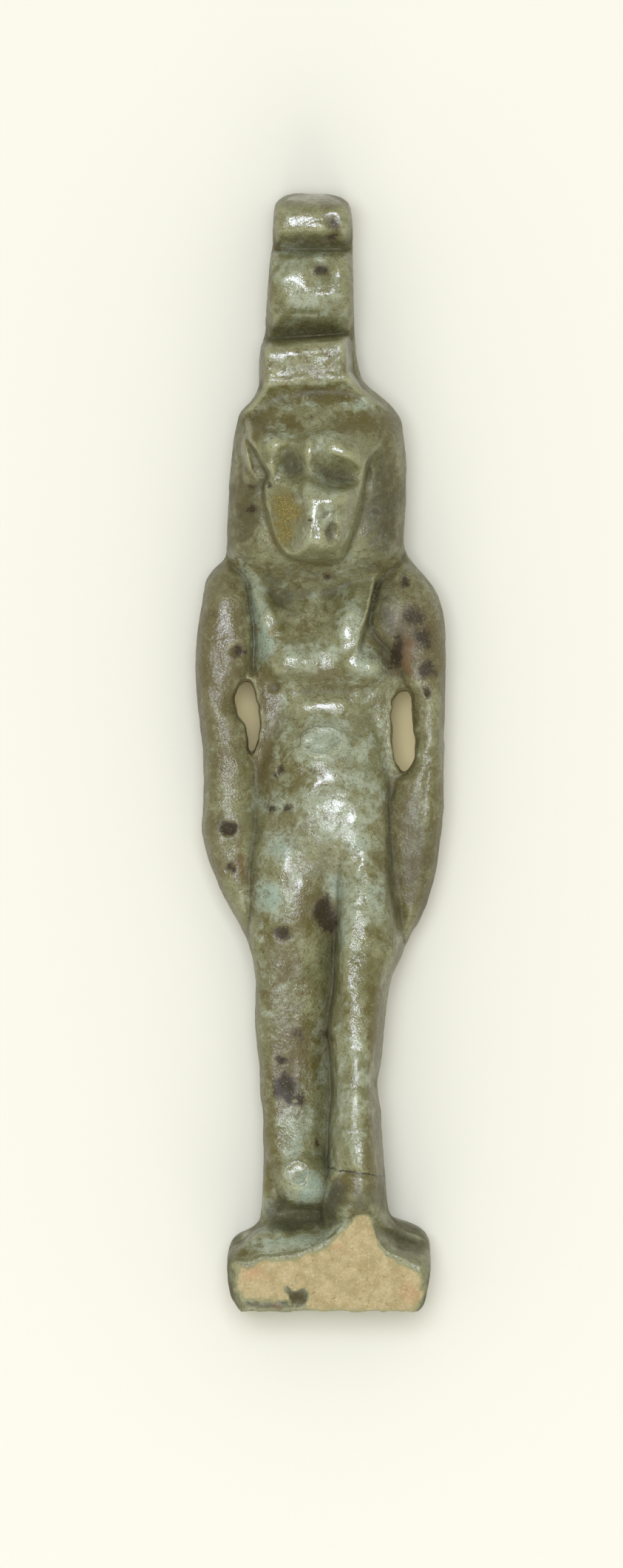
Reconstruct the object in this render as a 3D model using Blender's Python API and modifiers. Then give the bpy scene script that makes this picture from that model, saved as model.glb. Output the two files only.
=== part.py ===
"""Deity amulet: a standing goddess moulded in one piece of glazed faience.

Metres, +Y from the base's underside to the top of the headdress, +X to the
viewer's right, +Z out of the figure's front. It lies on the flat back of its
pillar, at z = 0, with the origin under the middle of its outline.

The figure's carving is drawn on a grid of square steps. Rows count down from
row 262, the top of the headdress, to row 1666, the top of the base. Column
434 is the middle of the whole outline. Depths are counted in the same steps.
"""

import math

import bmesh
import bpy
import numpy as np
from mathutils import Matrix

# top of the base to the top of the headdress: the figure's carving follows it
FIGURE = 0.04212
# slab under the feet, its front broken off
BASE_WIDTH = 0.00825
BASE_HEIGHT = 0.00321
BASE_DEPTH = 0.00648
BASE_DRAFT = 0.00045
BASE_ROUND = 0.0006
# how far the lost corner of the slab reaches down its front and back over its top
BREAK_DOWN = 0.00105
BREAK_BACK = 0.0017
# pillar up the whole back
PILLAR_WIDTH = 0.0034
PILLAR_PROUD = 0.00075
PILLAR_ROUND = 0.0003
# bore through the back of the headdress, for a thread
BORE = 0.0013
BORE_DROP = 0.00225
BORE_BACK = 0.0019
# skin of the finished solid
VOXEL = 0.00024
TRIANGLES = 8600

STEP = FIGURE / 1404
UNDERSIDE = -(BASE_HEIGHT + FIGURE) / 2
BASE_TOP = UNDERSIDE + BASE_HEIGHT
TOP_ROW = 262
BASE_ROW = 1666
LAST_ROW = 1690
MIDDLE = 434
BASE_COLUMN = 444.5
PILLAR_TOP_COLUMN = 421
PILLAR_FOOT_COLUMN = 443
BACK_STEPS = 25
# spare length of a solid that is trimmed flat, and of a cutter past what it cuts
SPARE = 0.0002
PAST = 0.003


def line(rows, *stations):
    """A smooth line through (row, value) stations that never swings past them."""
    table = np.array(stations, float)
    at, value = table[:, 0], table[:, 1]
    gap = np.diff(at)
    rise = np.diff(value) / gap
    both = rise[:-1] + rise[1:]
    inner = np.where(rise[:-1] * rise[1:] > 0, 2 * rise[:-1] * rise[1:] / np.where(both == 0, 1, both), 0)
    slope = np.concatenate([rise[:1], inner, rise[-1:]])
    i = np.clip(np.searchsorted(at, rows) - 1, 0, len(at) - 2)
    t = np.clip((rows - at[i]) / gap[i], 0, 1)
    start = (2 * t**3 - 3 * t**2 + 1) * value[i] + (t**3 - 2 * t**2 + t) * gap[i] * slope[i]
    end = (3 * t**2 - 2 * t**3) * value[i + 1] + (t**3 - t**2) * gap[i] * slope[i + 1]
    return start + end


def blend(a, b, fillet):
    """The larger of two heights, with a fillet where they meet."""
    k = np.clip(0.5 + 0.5 * (a - b) / fillet, 0, 1)
    return b * (1 - k) + a * k + fillet * k * (1 - k)


def ease(low, high, value):
    """0 below low, 1 above high, smooth between."""
    t = np.clip((value - low) / (high - low), 0, 1)
    return t * t * (3 - 2 * t)


def bar(x, middle, half, crest, root, power):
    """A rounded bar: crest at its middle, root at its sides, then falling away."""
    half = np.maximum(half, 1)
    t = np.abs(x - middle) / half
    inside = np.sqrt(1 - np.minimum(t, 1) ** power)
    return root + (crest - root) * inside - 5 * half * np.clip(t - 1, 0, None)


def ridge(x, low, middle, high, crest, fall_low, fall_high):
    """A ridge whose two sides fall by their own amounts."""
    t = np.where(x < middle, (middle - x) / (middle - low), (x - middle) / (high - middle))
    fall = np.where(x < middle, fall_low, fall_high)
    inside = np.sqrt(1 - np.clip(t, 0, 1) ** 2)
    return crest - fall * (1 - inside) - 150 * np.clip(t - 1, 0, None)


def lump(x, y, column, row, wide, tall, turn=0.0):
    """A soft bump of height 1, wide by tall, turned by some degrees."""
    c, s = math.cos(math.radians(turn)), math.sin(math.radians(turn))
    a = ((x - column) * c + (y - row) * s) / wide
    b = ((y - row) * c - (x - column) * s) / tall
    return np.exp(-(a * a) - b * b)


def left(y):
    """Column of the outline's left side."""
    head = [(262, 398), (263, 393), (264.5, 389), (266, 385), (269, 380), (272, 376.5), (278, 373.2), (285, 371.5)]
    head += [(300, 370.5), (336, 368.5), (345, 366.5), (380, 363.5), (430, 360), (456, 358), (468, 354.5)]
    head += [(480, 352), (500, 351), (522, 351), (532, 347), (542, 341), (552, 331), (562, 324), (575, 320.5)]
    head += [(600, 316), (640, 312), (680, 309), (715, 307.5), (735, 307.5), (748, 306.5), (757, 303)]
    arm = [(765, 295), (775, 286.5), (790, 278.5), (820, 273), (860, 267), (900, 265), (940, 266.5), (975, 270)]
    arm += [(1020, 275), (1060, 276), (1100, 275), (1122, 273.5), (1140, 276), (1165, 283), (1190, 293)]
    leg = [(1220, 307), (1250, 324), (1275, 336), (1300, 343), (1340, 346.5), (1380, 345.5), (1420, 348.5)]
    leg += [(1450, 352), (1480, 352.5), (1500, 356), (1550, 356), (1600, 355), (1620, 352), (1640, 342)]
    leg += [(1655, 335), (1665, 331), (1690, 331)]
    return line(y, *head, *arm, *leg)


def right(y):
    """Column of the outline's right side."""
    head = [(262, 436), (263, 446), (264.5, 453), (266, 458), (269, 464), (273, 469), (280, 473.5), (290, 475.5)]
    head += [(310, 476.5), (345, 477), (380, 477.5), (430, 479), (456, 480), (480, 482), (500, 486), (512, 490)]
    head += [(522, 497), (532, 508), (542, 520), (552, 531), (562, 538), (575, 543), (600, 547.5), (640, 549.5)]
    head += [(680, 549), (705, 547.5), (725, 545.5), (740, 546.5), (752, 551), (762, 559), (772, 569)]
    arm = [(785, 580), (800, 589), (820, 597), (850, 602), (900, 603), (940, 602.5), (1000, 600.5), (1060, 600.5)]
    arm += [(1100, 599), (1140, 595), (1180, 589), (1210, 581), (1240, 570), (1265, 556), (1290, 544)]
    leg = [(1320, 531), (1350, 524), (1380, 521), (1420, 517), (1450, 513), (1465, 510.5), (1480, 511.5)]
    leg += [(1500, 514), (1550, 517.5), (1600, 523), (1620, 527), (1640, 534), (1652, 543), (1665, 550), (1690, 550)]
    return line(y, *head, *arm, *leg)


def crown(x, y):
    """Headdress: a rolled top, a block behind and a seat block in front."""
    t = np.abs(x - 423.5) / 53
    top = [(262, 116), (264, 128), (268, 144), (274, 158), (282, 172), (290, 182), (300, 190), (310, 192)]
    top += [(320, 188), (328, 179), (334, 168), (339, 150), (346, 80), (352, 0)]
    roll = line(y, *top) - 16 * np.clip(t, 0, 1.4) ** 6
    t = np.abs(x - 420) / 58
    rear = [(328, 0), (334, 110), (339, 152), (346, 169), (354, 179), (368, 186), (385, 189), (400, 188)]
    rear += [(416, 183), (430, 172), (442, 158), (452, 142), (470, 110), (490, 0)]
    block = line(y, *rear) - 18 * np.clip(t, 0, 1.4) ** 6
    below = y - 465 + 9 * np.clip((x - 358) / 112, 0, 1)
    face = [(-10, 0), (-4, 120), (0, 176), (3, 196), (8, 209), (15, 216), (24, 217), (36, 216), (46, 218)]
    face += [(60, 221), (75, 225), (88, 226), (100, 222), (112, 206), (124, 170), (140, 0)]
    low = line(y, (450, 354), (500, 351), (522, 351), (545, 338), (560, 326))
    high = line(y, (450, 473), (500, 474), (518, 484), (545, 512), (560, 530))
    side = np.minimum(x - low, high - x)
    worn = 46 * np.clip(1 - side / 12, 0, 1) ** 2.2 + 14 * np.clip(-side, 0, None)
    seat = line(below, *face) - worn * (1 - 0.8 * ease(518, 556, y))
    return blend(blend(roll, block, 4), seat, 4)


def head(x, y):
    """Skull and forehead, with the wig set back on both sides of the face."""
    middle = line(y, (505, 425), (560, 431), (600, 432), (620, 431))
    half = line(y, (505, 70), (522, 76), (532, 88), (545, 100), (560, 109), (580, 114), (597, 116), (612, 108))
    crest = [(480, 0), (500, 140), (512, 190), (524, 212), (540, 226), (560, 236), (580, 240), (594, 240)]
    crest += [(601, 234), (608, 205), (618, 120), (634, 0)]
    high = line(y, *crest)
    skull = bar(x, middle, half, high, high - 84, 2.5)
    middle = line(y, (570, 432), (640, 431), (700, 428), (745, 428), (765, 427))
    half = line(y, (570, 113), (600, 117), (640, 119), (700, 120), (745, 120), (765, 118))
    crest = [(540, 0), (560, 140), (580, 176), (600, 188), (640, 190), (700, 190), (740, 188), (752, 184)]
    crest += [(764, 172), (782, 140), (800, 0)]
    high = line(y, *crest)
    return blend(skull, bar(x, middle, half, high, high - 60, 4), 6)


def face(x, y):
    """Worn face: brows, sunk eyes, a ridge between them and a long muzzle."""
    low = [(560, 332), (598, 336), (604, 339), (616, 348), (632, 357), (641, 364), (650, 364), (660, 359)]
    low += [(680, 358), (700, 362), (725, 370), (745, 381), (751, 386), (755, 392), (758, 399), (761, 414)]
    high = [(560, 520), (598, 516), (620, 502), (649, 492), (678, 489), (700, 485), (725, 475), (745, 467)]
    high += [(752, 465), (757, 461), (761, 452)]
    low, high = line(y, *low), line(y, *high)
    crest = [(530, 0), (560, 190), (576, 220), (592, 238), (604, 247), (616, 252), (632, 250), (645, 248)]
    crest += [(658, 256), (672, 272), (688, 284), (704, 289), (722, 288), (736, 284), (748, 277), (755, 268)]
    crest += [(759, 250), (762, 205), (767, 120), (774, 0)]
    edge = [(530, 0), (560, 170), (576, 204), (592, 224), (606, 234), (630, 236), (650, 236), (680, 242)]
    edge += [(720, 244), (745, 246), (755, 242), (759, 230), (762, 195), (767, 115), (774, 0)]
    crest, edge = line(y, *crest), line(y, *edge)
    t = np.clip((2 * x - low - high) / (high - low), -1, 1)
    side = np.minimum(x - low, high - x)
    z = edge + (crest - edge) * (1 - np.abs(t) ** 2.2)
    z = z - 34 * np.clip(1 - side / 8, 0, 1) ** 2 - 10 * np.clip(-side, 0, None)
    z = z + 13 * lump(x, y, 371, 606, 20, 13, -40) + 17 * lump(x, y, 452, 609, 32, 14, 14)
    z = z - 16 * lump(x, y, 392, 634, 16, 16) - 26 * lump(x, y, 459, 647, 32, 15, 8)
    z = z + 9 * lump(x, y, 416, 618, 9, 22, 4) + 6 * lump(x, y, 366, 636, 9, 13)
    z = z + 8 * lump(x, y, 429, 700, 20, 30) - 7 * lump(x, y, 388, 706, 20, 30)
    return z - 6 * lump(x, y, 480, 700, 14, 24) - 8 * lump(x, y, 451, 722, 8, 15)


def ear(x, y):
    """The ear that is left, in front of the wig."""
    middle = line(y, (590, 334), (605, 334), (620, 336), (635, 339), (648, 347), (658, 352))
    half = line(y, (590, 4), (597, 7), (615, 8), (635, 7), (648, 6), (658, 3))
    crest = [(574, 0), (584, 120), (592, 206), (600, 214), (630, 212), (650, 206), (660, 190), (668, 120), (680, 0)]
    high = line(y, *crest)
    return bar(x, middle, half, high, high - 22, 2)


def torso(x, y):
    """Chest under the chin, breasts, belly, and the two lappets of the wig."""
    middle = line(y, (745, 432), (850, 440), (975, 441), (1100, 434), (1240, 436), (1340, 436))
    half = [(745, 108), (800, 104), (860, 98), (920, 92), (975, 88), (1040, 90), (1110, 94), (1200, 97)]
    half = line(y, *half, (1260, 94), (1340, 86))
    crest = [(705, 0), (720, 60), (735, 120), (750, 158), (770, 168), (800, 171), (860, 176), (920, 182)]
    crest += [(960, 184), (1010, 196), (1060, 204), (1100, 207), (1150, 201), (1200, 192), (1240, 178)]
    high = line(y, *crest, (1280, 150), (1320, 100), (1360, 0))
    z = bar(x, middle, half, high, high - 66, 2.4)
    z = z + 20 * lump(x, y, 497, 902, 36, 27) + 14 * lump(x, y, 398, 900, 34, 25)
    z = z - 8 * lump(x, y, 430, 808, 42, 46) + 6 * lump(x, y, 436, 1004, 34, 22)
    low = line(y, (735, 305), (745, 311), (760, 320), (790, 332), (830, 337), (870, 343), (900, 347), (940, 360))
    middle = line(y, (735, 328), (780, 346), (820, 357), (860, 365), (900, 371), (940, 376))
    high = line(y, (735, 366), (780, 388), (820, 396), (860, 398), (900, 398), (940, 396))
    crest = [(712, 0), (728, 130), (740, 166), (752, 184), (766, 190), (790, 194), (820, 197), (860, 200)]
    crest += [(890, 199), (912, 190), (934, 172), (955, 120), (970, 0)]
    z = blend(z, ridge(x, low, middle, high, line(y, *crest), 34, 24), 8)
    low = line(y, (735, 478), (780, 446), (820, 436), (850, 434), (880, 438), (910, 446))
    middle = line(y, (735, 514), (780, 492), (820, 478), (850, 470), (880, 470), (910, 476))
    high = line(y, (735, 546), (765, 518), (800, 508), (840, 498), (860, 494), (880, 494), (910, 496))
    crest = [(712, 0), (728, 130), (740, 166), (752, 184), (766, 191), (790, 195), (820, 200), (850, 203)]
    crest += [(880, 200), (900, 190), (920, 170), (940, 120), (955, 0)]
    return blend(z, ridge(x, low, middle, high, line(y, *crest), 26, 32), 8)


def arms(x, y):
    """Both arms, from the shoulders to the hands on the thighs."""
    low = left(y)
    high = [(752, 312), (770, 322), (800, 333), (850, 341), (880, 343), (905, 337), (921, 331), (940, 320)]
    high += [(955, 317), (970, 322), (985, 333), (1010, 336), (1040, 341), (1110, 345), (1150, 347)]
    high = line(y, *high, (1200, 346), (1250, 343), (1290, 342))
    crest = [(726, 0), (738, 60), (750, 110), (762, 140), (785, 162), (820, 174), (880, 178), (950, 176)]
    crest += [(1050, 174), (1120, 174), (1180, 168), (1230, 158), (1265, 142), (1290, 110), (1310, 0)]
    crest = line(y, *crest)
    one = bar(x, (low + high) / 2, (high - low) / 2 + 1, crest, crest - 64, 2.2)
    low = [(752, 522), (775, 517), (800, 511), (840, 503), (862, 512), (885, 536), (905, 544), (925, 547)]
    low += [(940, 556), (955, 558), (985, 560), (1003, 563), (1020, 562), (1040, 553), (1060, 536)]
    low = line(y, *low, (1100, 527), (1160, 525), (1200, 528), (1250, 538), (1290, 541))
    high = right(y)
    other = bar(x, (low + high) / 2, (high - low) / 2 + 1, crest, crest - 64, 2.2)
    return np.maximum(one, other)


def rear_leg(x, y):
    """The leg set back, with the front of its foot."""
    middle = [(1100, 392), (1180, 393), (1260, 396), (1340, 396), (1420, 394), (1500, 394), (1560, 397)]
    middle = line(y, *middle, (1600, 404), (1640, 408))
    half = [(1100, 50), (1180, 54), (1260, 56), (1340, 50), (1420, 45), (1500, 41), (1560, 42)]
    half = line(y, *half, (1600, 45), (1640, 47))
    crest = [(1040, 0), (1080, 150), (1120, 178), (1160, 192), (1200, 198), (1240, 195), (1290, 185)]
    crest += [(1340, 175), (1400, 166), (1460, 161), (1520, 162), (1560, 170), (1590, 182), (1610, 189)]
    crest = line(y, *crest, (1624, 187), (1636, 172), (1648, 120), (1660, 0))
    return bar(x, middle, half, crest, crest - 62, 2.2)


def front_leg(x, y):
    """The leg that steps forward, ending at its lost foot."""
    low = [(1150, 454), (1260, 456), (1330, 454), (1380, 447), (1400, 445), (1420, 449), (1450, 451)]
    low = line(y, *low, (1480, 453), (1520, 449), (1560, 448), (1600, 447), (1640, 452))
    high = right(y)
    middle = [(1130, 480), (1170, 487), (1230, 483), (1290, 474), (1310, 472), (1400, 479), (1540, 481)]
    middle = line(y, *middle, (1600, 485), (1640, 487))
    crest = [(1020, 0), (1060, 150), (1100, 178), (1140, 195), (1180, 206), (1220, 215), (1260, 223)]
    crest += [(1300, 232), (1400, 248), (1500, 258), (1580, 265), (1610, 264), (1630, 254), (1642, 240)]
    crest = line(y, *crest, (1652, 222), (1664, 200), (1680, 120), (1700, 0))
    t = np.where(x < middle, (middle - x) / (middle - low), (x - middle) / (high - 2 - middle))
    t = np.clip(t, 0, 1)
    fall = line(y, (1090, 70), (1200, 80), (1300, 110), (1640, 150))
    outside = np.clip(x - high, 0, None) + np.clip(low - x, 0, None)
    return crest - fall * (1 - 0.22 * (1 - t) - 0.78 * np.sqrt(1 - t * t)) - 7 * outside


def glaze_pool(x, y):
    """The top of the slab, rising forward from the feet to the break."""
    rim = [(306, 1712), (325, 1702), (345, 1697), (400, 1697), (430, 1684), (450, 1668), (466, 1652)]
    rim += [(480, 1642), (495, 1641), (508, 1654), (518, 1676), (530, 1692), (548, 1700), (582, 1714)]
    rim = line(x, *rim)
    foot = line(x, (306, 1668), (340, 1660), (380, 1650), (430, 1644), (455, 1640), (520, 1640), (545, 1658), (582, 1672))
    u = np.clip((y - foot) / np.maximum(rim - foot, 4), 0, 1)
    return 158 + 50 * np.sin(0.5 * math.pi * u) - 9 * np.clip(foot - y, 0, None)


def front(x, y):
    """Depth of the figure's front."""
    web = [(262, 110), (540, 116), (760, 128), (900, 124), (1000, 112), (1150, 118), (1250, 114)]
    z = line(y, *web, (1330, 120), (1400, 128), (1650, 130), (1690, 140))
    z = blend(z, crown(x, y), 6)
    z = blend(z, head(x, y), 8)
    z = blend(z, ear(x, y), 3)
    z = blend(z, face(x, y), 5)
    z = blend(z, torso(x, y), 7)
    z = blend(z, arms(x, y), 7)
    z = blend(z, rear_leg(x, y), 16)
    z = blend(z, front_leg(x, y), 12)
    return blend(z, glaze_pool(x, y), 6)


def back(x, y):
    """Depth of the figure's back beside the pillar, with a groove inside each arm."""
    z = [(262, 4), (500, 4), (540, 14), (580, 22), (700, 26), (745, 28), (760, 40), (780, 34), (860, 26)]
    z += [(940, 30), (1000, 36), (1060, 30), (1120, 22), (1180, 24), (1250, 34), (1300, 40), (1500, 38)]
    z = line(y, *z, (1620, 34), (1690, 34))
    one = line(y, (760, 322), (900, 334), (1000, 345), (1250, 343))
    other = line(y, (760, 530), (900, 545), (1000, 540), (1250, 535))
    groove = np.exp(-(((x - one) / 9) ** 2)) + np.exp(-(((x - other) / 9) ** 2))
    return z + 12 * groove * ease(760, 800, y) * (1 - ease(1230, 1280, y))


def figure_rings():
    """One closed ring of points for each row: the front from left to right, then the back."""
    near_top = [262, 263, 264.5, 266, 268, 271, 274, 278, 282, 287]
    rows = np.concatenate([near_top, np.linspace(292, LAST_ROW, 280)])[:, None]
    turn = np.linspace(0, math.pi, 57)[None, :]
    low, high = left(rows), right(rows)
    x = (low + high) / 2 - (high - low) / 2 * np.cos(turn)
    y = rows + 0 * x
    parting = line(y, (262, 104), (500, 108), (560, 112), (800, 112), (1000, 106), (1260, 96), (1500, 92), (1690, 100))
    side = np.minimum(x - low, high - x)
    end = np.clip((y - TOP_ROW) / 16, 0, 1)
    end = np.sqrt(1 - (1 - end) ** 2)
    rounding = [(262, 14), (330, 12), (450, 11), (520, 13), (545, 26), (600, 32), (740, 34), (770, 40)]
    rounding = line(y, *rounding, (1200, 40), (1270, 38), (1400, 44), (1600, 38), (1650, 30), (1690, 30))
    t = np.clip(1 - side / rounding, 0, 1)
    ahead = np.maximum(front(x, y), parting + 2) - parting
    z_front = parting + ahead * np.sqrt(1 - t * t) * end
    rounding = line(y, (262, 14), (500, 14), (560, 60), (740, 64), (800, 50), (1200, 50), (1300, 60), (1690, 60))
    t = np.clip(1 - side / rounding, 0, 1)
    behind = parting - np.minimum(back(x, y), parting - 2)
    z_back = parting - behind * np.sqrt(1 - t * t) * end
    ring_x = np.concatenate([x, x[:, -2:0:-1]], 1)
    ring_y = np.concatenate([y, y[:, -2:0:-1]], 1)
    ring_z = np.concatenate([z_front, z_back[:, -2:0:-1]], 1)
    return (ring_x - MIDDLE) * STEP, BASE_TOP + (BASE_ROW - ring_y) * STEP, PILLAR_PROUD + (ring_z - BACK_STEPS) * STEP


def place(name, mesh, collection):
    obj = bpy.data.objects.new(name, mesh)
    collection.objects.link(obj)
    return obj


def figure_mesh():
    """The figure as a loft through its rings, closed at both ends."""
    x, y, z = figure_rings()
    rings, size = x.shape
    points = np.stack([x, y, z], -1).reshape(-1, 3)
    first = np.arange(rings - 1)[:, None] * size + np.arange(size)[None, :]
    after = np.arange(rings - 1)[:, None] * size + (np.arange(size)[None, :] + 1) % size
    quads = np.stack([first, first + size, after + size, after], -1).reshape(-1, 4)
    mesh = bpy.data.meshes.new("figure")
    ends = [list(range(size)), list(range(rings * size - 1, (rings - 1) * size - 1, -1))]
    mesh.from_pydata(points.tolist(), [], quads.tolist() + ends)
    shape = bmesh.new()
    shape.from_mesh(mesh)
    bmesh.ops.recalc_face_normals(shape, faces=shape.faces)
    shape.to_mesh(mesh)
    shape.free()
    return mesh


def block_mesh(name, size, centre, draft=0.0):
    """A box. Its front face is narrower by draft on each side."""
    shape = bmesh.new()
    bmesh.ops.create_cube(shape, size=1, matrix=Matrix.Diagonal((*size, 1)))
    for vertex in shape.verts:
        if vertex.co.z > 0:
            vertex.co.x -= math.copysign(draft, vertex.co.x)
    bmesh.ops.translate(shape, verts=shape.verts, vec=centre)
    mesh = bpy.data.meshes.new(name)
    shape.to_mesh(mesh)
    shape.free()
    return mesh


def gap_mesh(name, outline):
    """A straight cutter with a smooth closed outline, given as columns and rows."""
    curve = bpy.data.curves.new(name, "CURVE")
    curve.dimensions = "2D"
    curve.fill_mode = "BOTH"
    curve.resolution_u = 4
    curve.extrude = PILLAR_PROUD + 300 * STEP
    spline = curve.splines.new("BEZIER")
    spline.use_cyclic_u = True
    spline.bezier_points.add(len(outline) - 1)
    for point, (column, row) in zip(spline.bezier_points, outline):
        point.co = ((column - MIDDLE) * STEP, BASE_TOP + (BASE_ROW - row) * STEP, 0)
        point.handle_left_type = "AUTO"
        point.handle_right_type = "AUTO"
    drawn = bpy.data.objects.new(name, curve)
    mesh = bpy.data.meshes.new_from_object(drawn)
    bpy.data.objects.remove(drawn)
    bpy.data.curves.remove(curve)
    shape = bmesh.new()
    shape.from_mesh(mesh)
    bmesh.ops.remove_doubles(shape, verts=shape.verts, dist=1e-7)
    bmesh.ops.recalc_face_normals(shape, faces=shape.faces)
    shape.to_mesh(mesh)
    shape.free()
    return mesh


def rod_mesh(name, radius, length, centre):
    """A round rod along X."""
    shape = bmesh.new()
    turn = Matrix.Rotation(math.pi / 2, 4, "Y")
    bmesh.ops.create_cone(shape, cap_ends=True, segments=28, radius1=radius, radius2=radius, depth=length, matrix=turn)
    bmesh.ops.translate(shape, verts=shape.verts, vec=centre)
    mesh = bpy.data.meshes.new(name)
    shape.to_mesh(mesh)
    shape.free()
    return mesh


def boolean(target, other, operation):
    modifier = target.modifiers.new(other.name, "BOOLEAN")
    modifier.operation = operation
    modifier.solver = "EXACT"
    modifier.object = other


def rounded(target, width, segments):
    modifier = target.modifiers.new("rounding", "BEVEL")
    modifier.width = width
    modifier.segments = segments
    modifier.limit_method = "ANGLE"
    modifier.angle_limit = math.radians(40)


for old in list(bpy.data.objects):
    bpy.data.objects.remove(old)

scene = bpy.context.scene
parts = bpy.data.collections.new("deity_amulet")
helpers = bpy.data.collections.new("cutters")
scene.collection.children.link(parts)
scene.collection.children.link(helpers)

# the slab: drafted toward its front, all corners rounded, its top front corner lost
slab_height = BASE_HEIGHT + SPARE
slab_depth = BASE_DEPTH + SPARE
slab_x = (BASE_COLUMN - MIDDLE) * STEP
slab = place(
    "slab",
    block_mesh(
        "slab",
        (BASE_WIDTH, slab_height, slab_depth),
        (slab_x, UNDERSIDE + (BASE_HEIGHT - SPARE) / 2, (BASE_DEPTH - SPARE) / 2),
        BASE_DRAFT,
    ),
    helpers,
)
rounded(slab, BASE_ROUND, 3)
slope = math.hypot(BREAK_DOWN, BREAK_BACK)
lost = place("lost_corner", block_mesh("lost_corner", (BASE_WIDTH + PAST, slope + PAST, PAST), (0, 0, PAST / 2)), helpers)
lost.location = (slab_x, BASE_TOP - BREAK_DOWN / 2, BASE_DEPTH - BREAK_BACK / 2)
lost.rotation_euler = (math.atan2(BREAK_DOWN, BREAK_BACK) - math.pi / 2, 0, 0)
boolean(slab, lost, "DIFFERENCE")

# the pillar: straight, leaning with the figure, its top under the headdress's rounding
pillar_top = BASE_TOP + (BASE_ROW - TOP_ROW - 6) * STEP
pillar_depth = PILLAR_PROUD + 55 * STEP + SPARE
pillar_run = pillar_top - UNDERSIDE + SPARE
lean = math.atan2((PILLAR_FOOT_COLUMN - PILLAR_TOP_COLUMN) * STEP, pillar_top - BASE_TOP)
pillar = place(
    "pillar",
    block_mesh("pillar", (PILLAR_WIDTH, pillar_run, pillar_depth), (0, -pillar_run / 2, pillar_depth / 2 - SPARE)),
    helpers,
)
pillar.location = ((PILLAR_TOP_COLUMN - MIDDLE) * STEP, pillar_top, 0)
pillar.rotation_euler = (0, 0, lean)
rounded(pillar, PILLAR_ROUND, 2)

# see-through gaps between each arm and the waist
left_gap = [(330, 921), (341, 923), (347, 945), (352, 965), (352, 985), (346, 1010), (340, 1026), (336, 1010)]
left_gap += [(333, 985), (322, 970), (317, 950), (321, 930)]
right_gap = [(545, 931), (556, 937), (558, 955), (560, 985), (563, 1003), (562, 1020), (556, 1040), (546, 1048)]
right_gap += [(538, 1040), (532, 1025), (530, 1000), (529, 970), (532, 945)]
gap_one = place("gap_left", gap_mesh("gap_left", left_gap), helpers)
gap_two = place("gap_right", gap_mesh("gap_right", right_gap), helpers)

# the bore for a thread, from side to side behind the headdress
bore_length = 140 * STEP + PAST
bore_centre = ((PILLAR_TOP_COLUMN - MIDDLE) * STEP, BASE_TOP + FIGURE - BORE_DROP, BORE_BACK)
bore = place("bore", rod_mesh("bore", BORE / 2, bore_length, bore_centre), helpers)

# what lies behind z = 0 or below the underside is trimmed to two true flats
reach = BASE_HEIGHT + FIGURE + PAST
across = BASE_WIDTH + 400 * STEP
deep = BASE_DEPTH + 400 * STEP
trim_back = place("trim_back", block_mesh("trim_back", (across, 2 * reach, PAST), (0, 0, -PAST / 2)), helpers)
trim_under = place("trim_under", block_mesh("trim_under", (across, PAST, 2 * deep), (0, UNDERSIDE - PAST / 2, 0)), helpers)

amulet = place("amulet", figure_mesh(), parts)
boolean(amulet, gap_one, "DIFFERENCE")
boolean(amulet, gap_two, "DIFFERENCE")
boolean(amulet, slab, "UNION")
boolean(amulet, pillar, "UNION")
skin = amulet.modifiers.new("skin", "REMESH")
skin.mode = "VOXEL"
skin.voxel_size = VOXEL
soften = amulet.modifiers.new("soften", "SMOOTH")
soften.factor = 0.5
soften.iterations = 4
bpy.context.view_layer.update()
count = len(amulet.evaluated_get(bpy.context.evaluated_depsgraph_get()).data.polygons)
fewer = amulet.modifiers.new("fewer", "DECIMATE")
fewer.ratio = min(1.0, TRIANGLES / (2 * count))
boolean(amulet, bore, "DIFFERENCE")
boolean(amulet, trim_back, "DIFFERENCE")
boolean(amulet, trim_under, "DIFFERENCE")

faience = bpy.data.materials.new("faience")
faience.use_nodes = True
shader = faience.node_tree.nodes["Principled BSDF"]
shader.inputs["Base Color"].default_value = (0.21, 0.24, 0.16, 1)
shader.inputs["Roughness"].default_value = 0.22
amulet.data.materials.append(faience)

for helper in helpers.objects:
    helper.hide_render = True
    helper.display_type = "WIRE"
helpers.hide_render = True
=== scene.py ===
"""Deity amulet: a standing goddess moulded in one piece of glazed faience.

Metres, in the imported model's frame: +Y from the slab's underside to the top of
the headdress, +X to the viewer's right, +Z out of the figure's front. It lies
on the flat back of its pillar, at z = 0. The carving is drawn in square steps:
rows count down from 262, the top of the headdress, to 1666, the top of the
slab, and column 434 is the middle of the outline. Depths are in steps too.
"""

import math

import bmesh
import bpy
import numpy as np
from mathutils import Matrix, Vector


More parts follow.
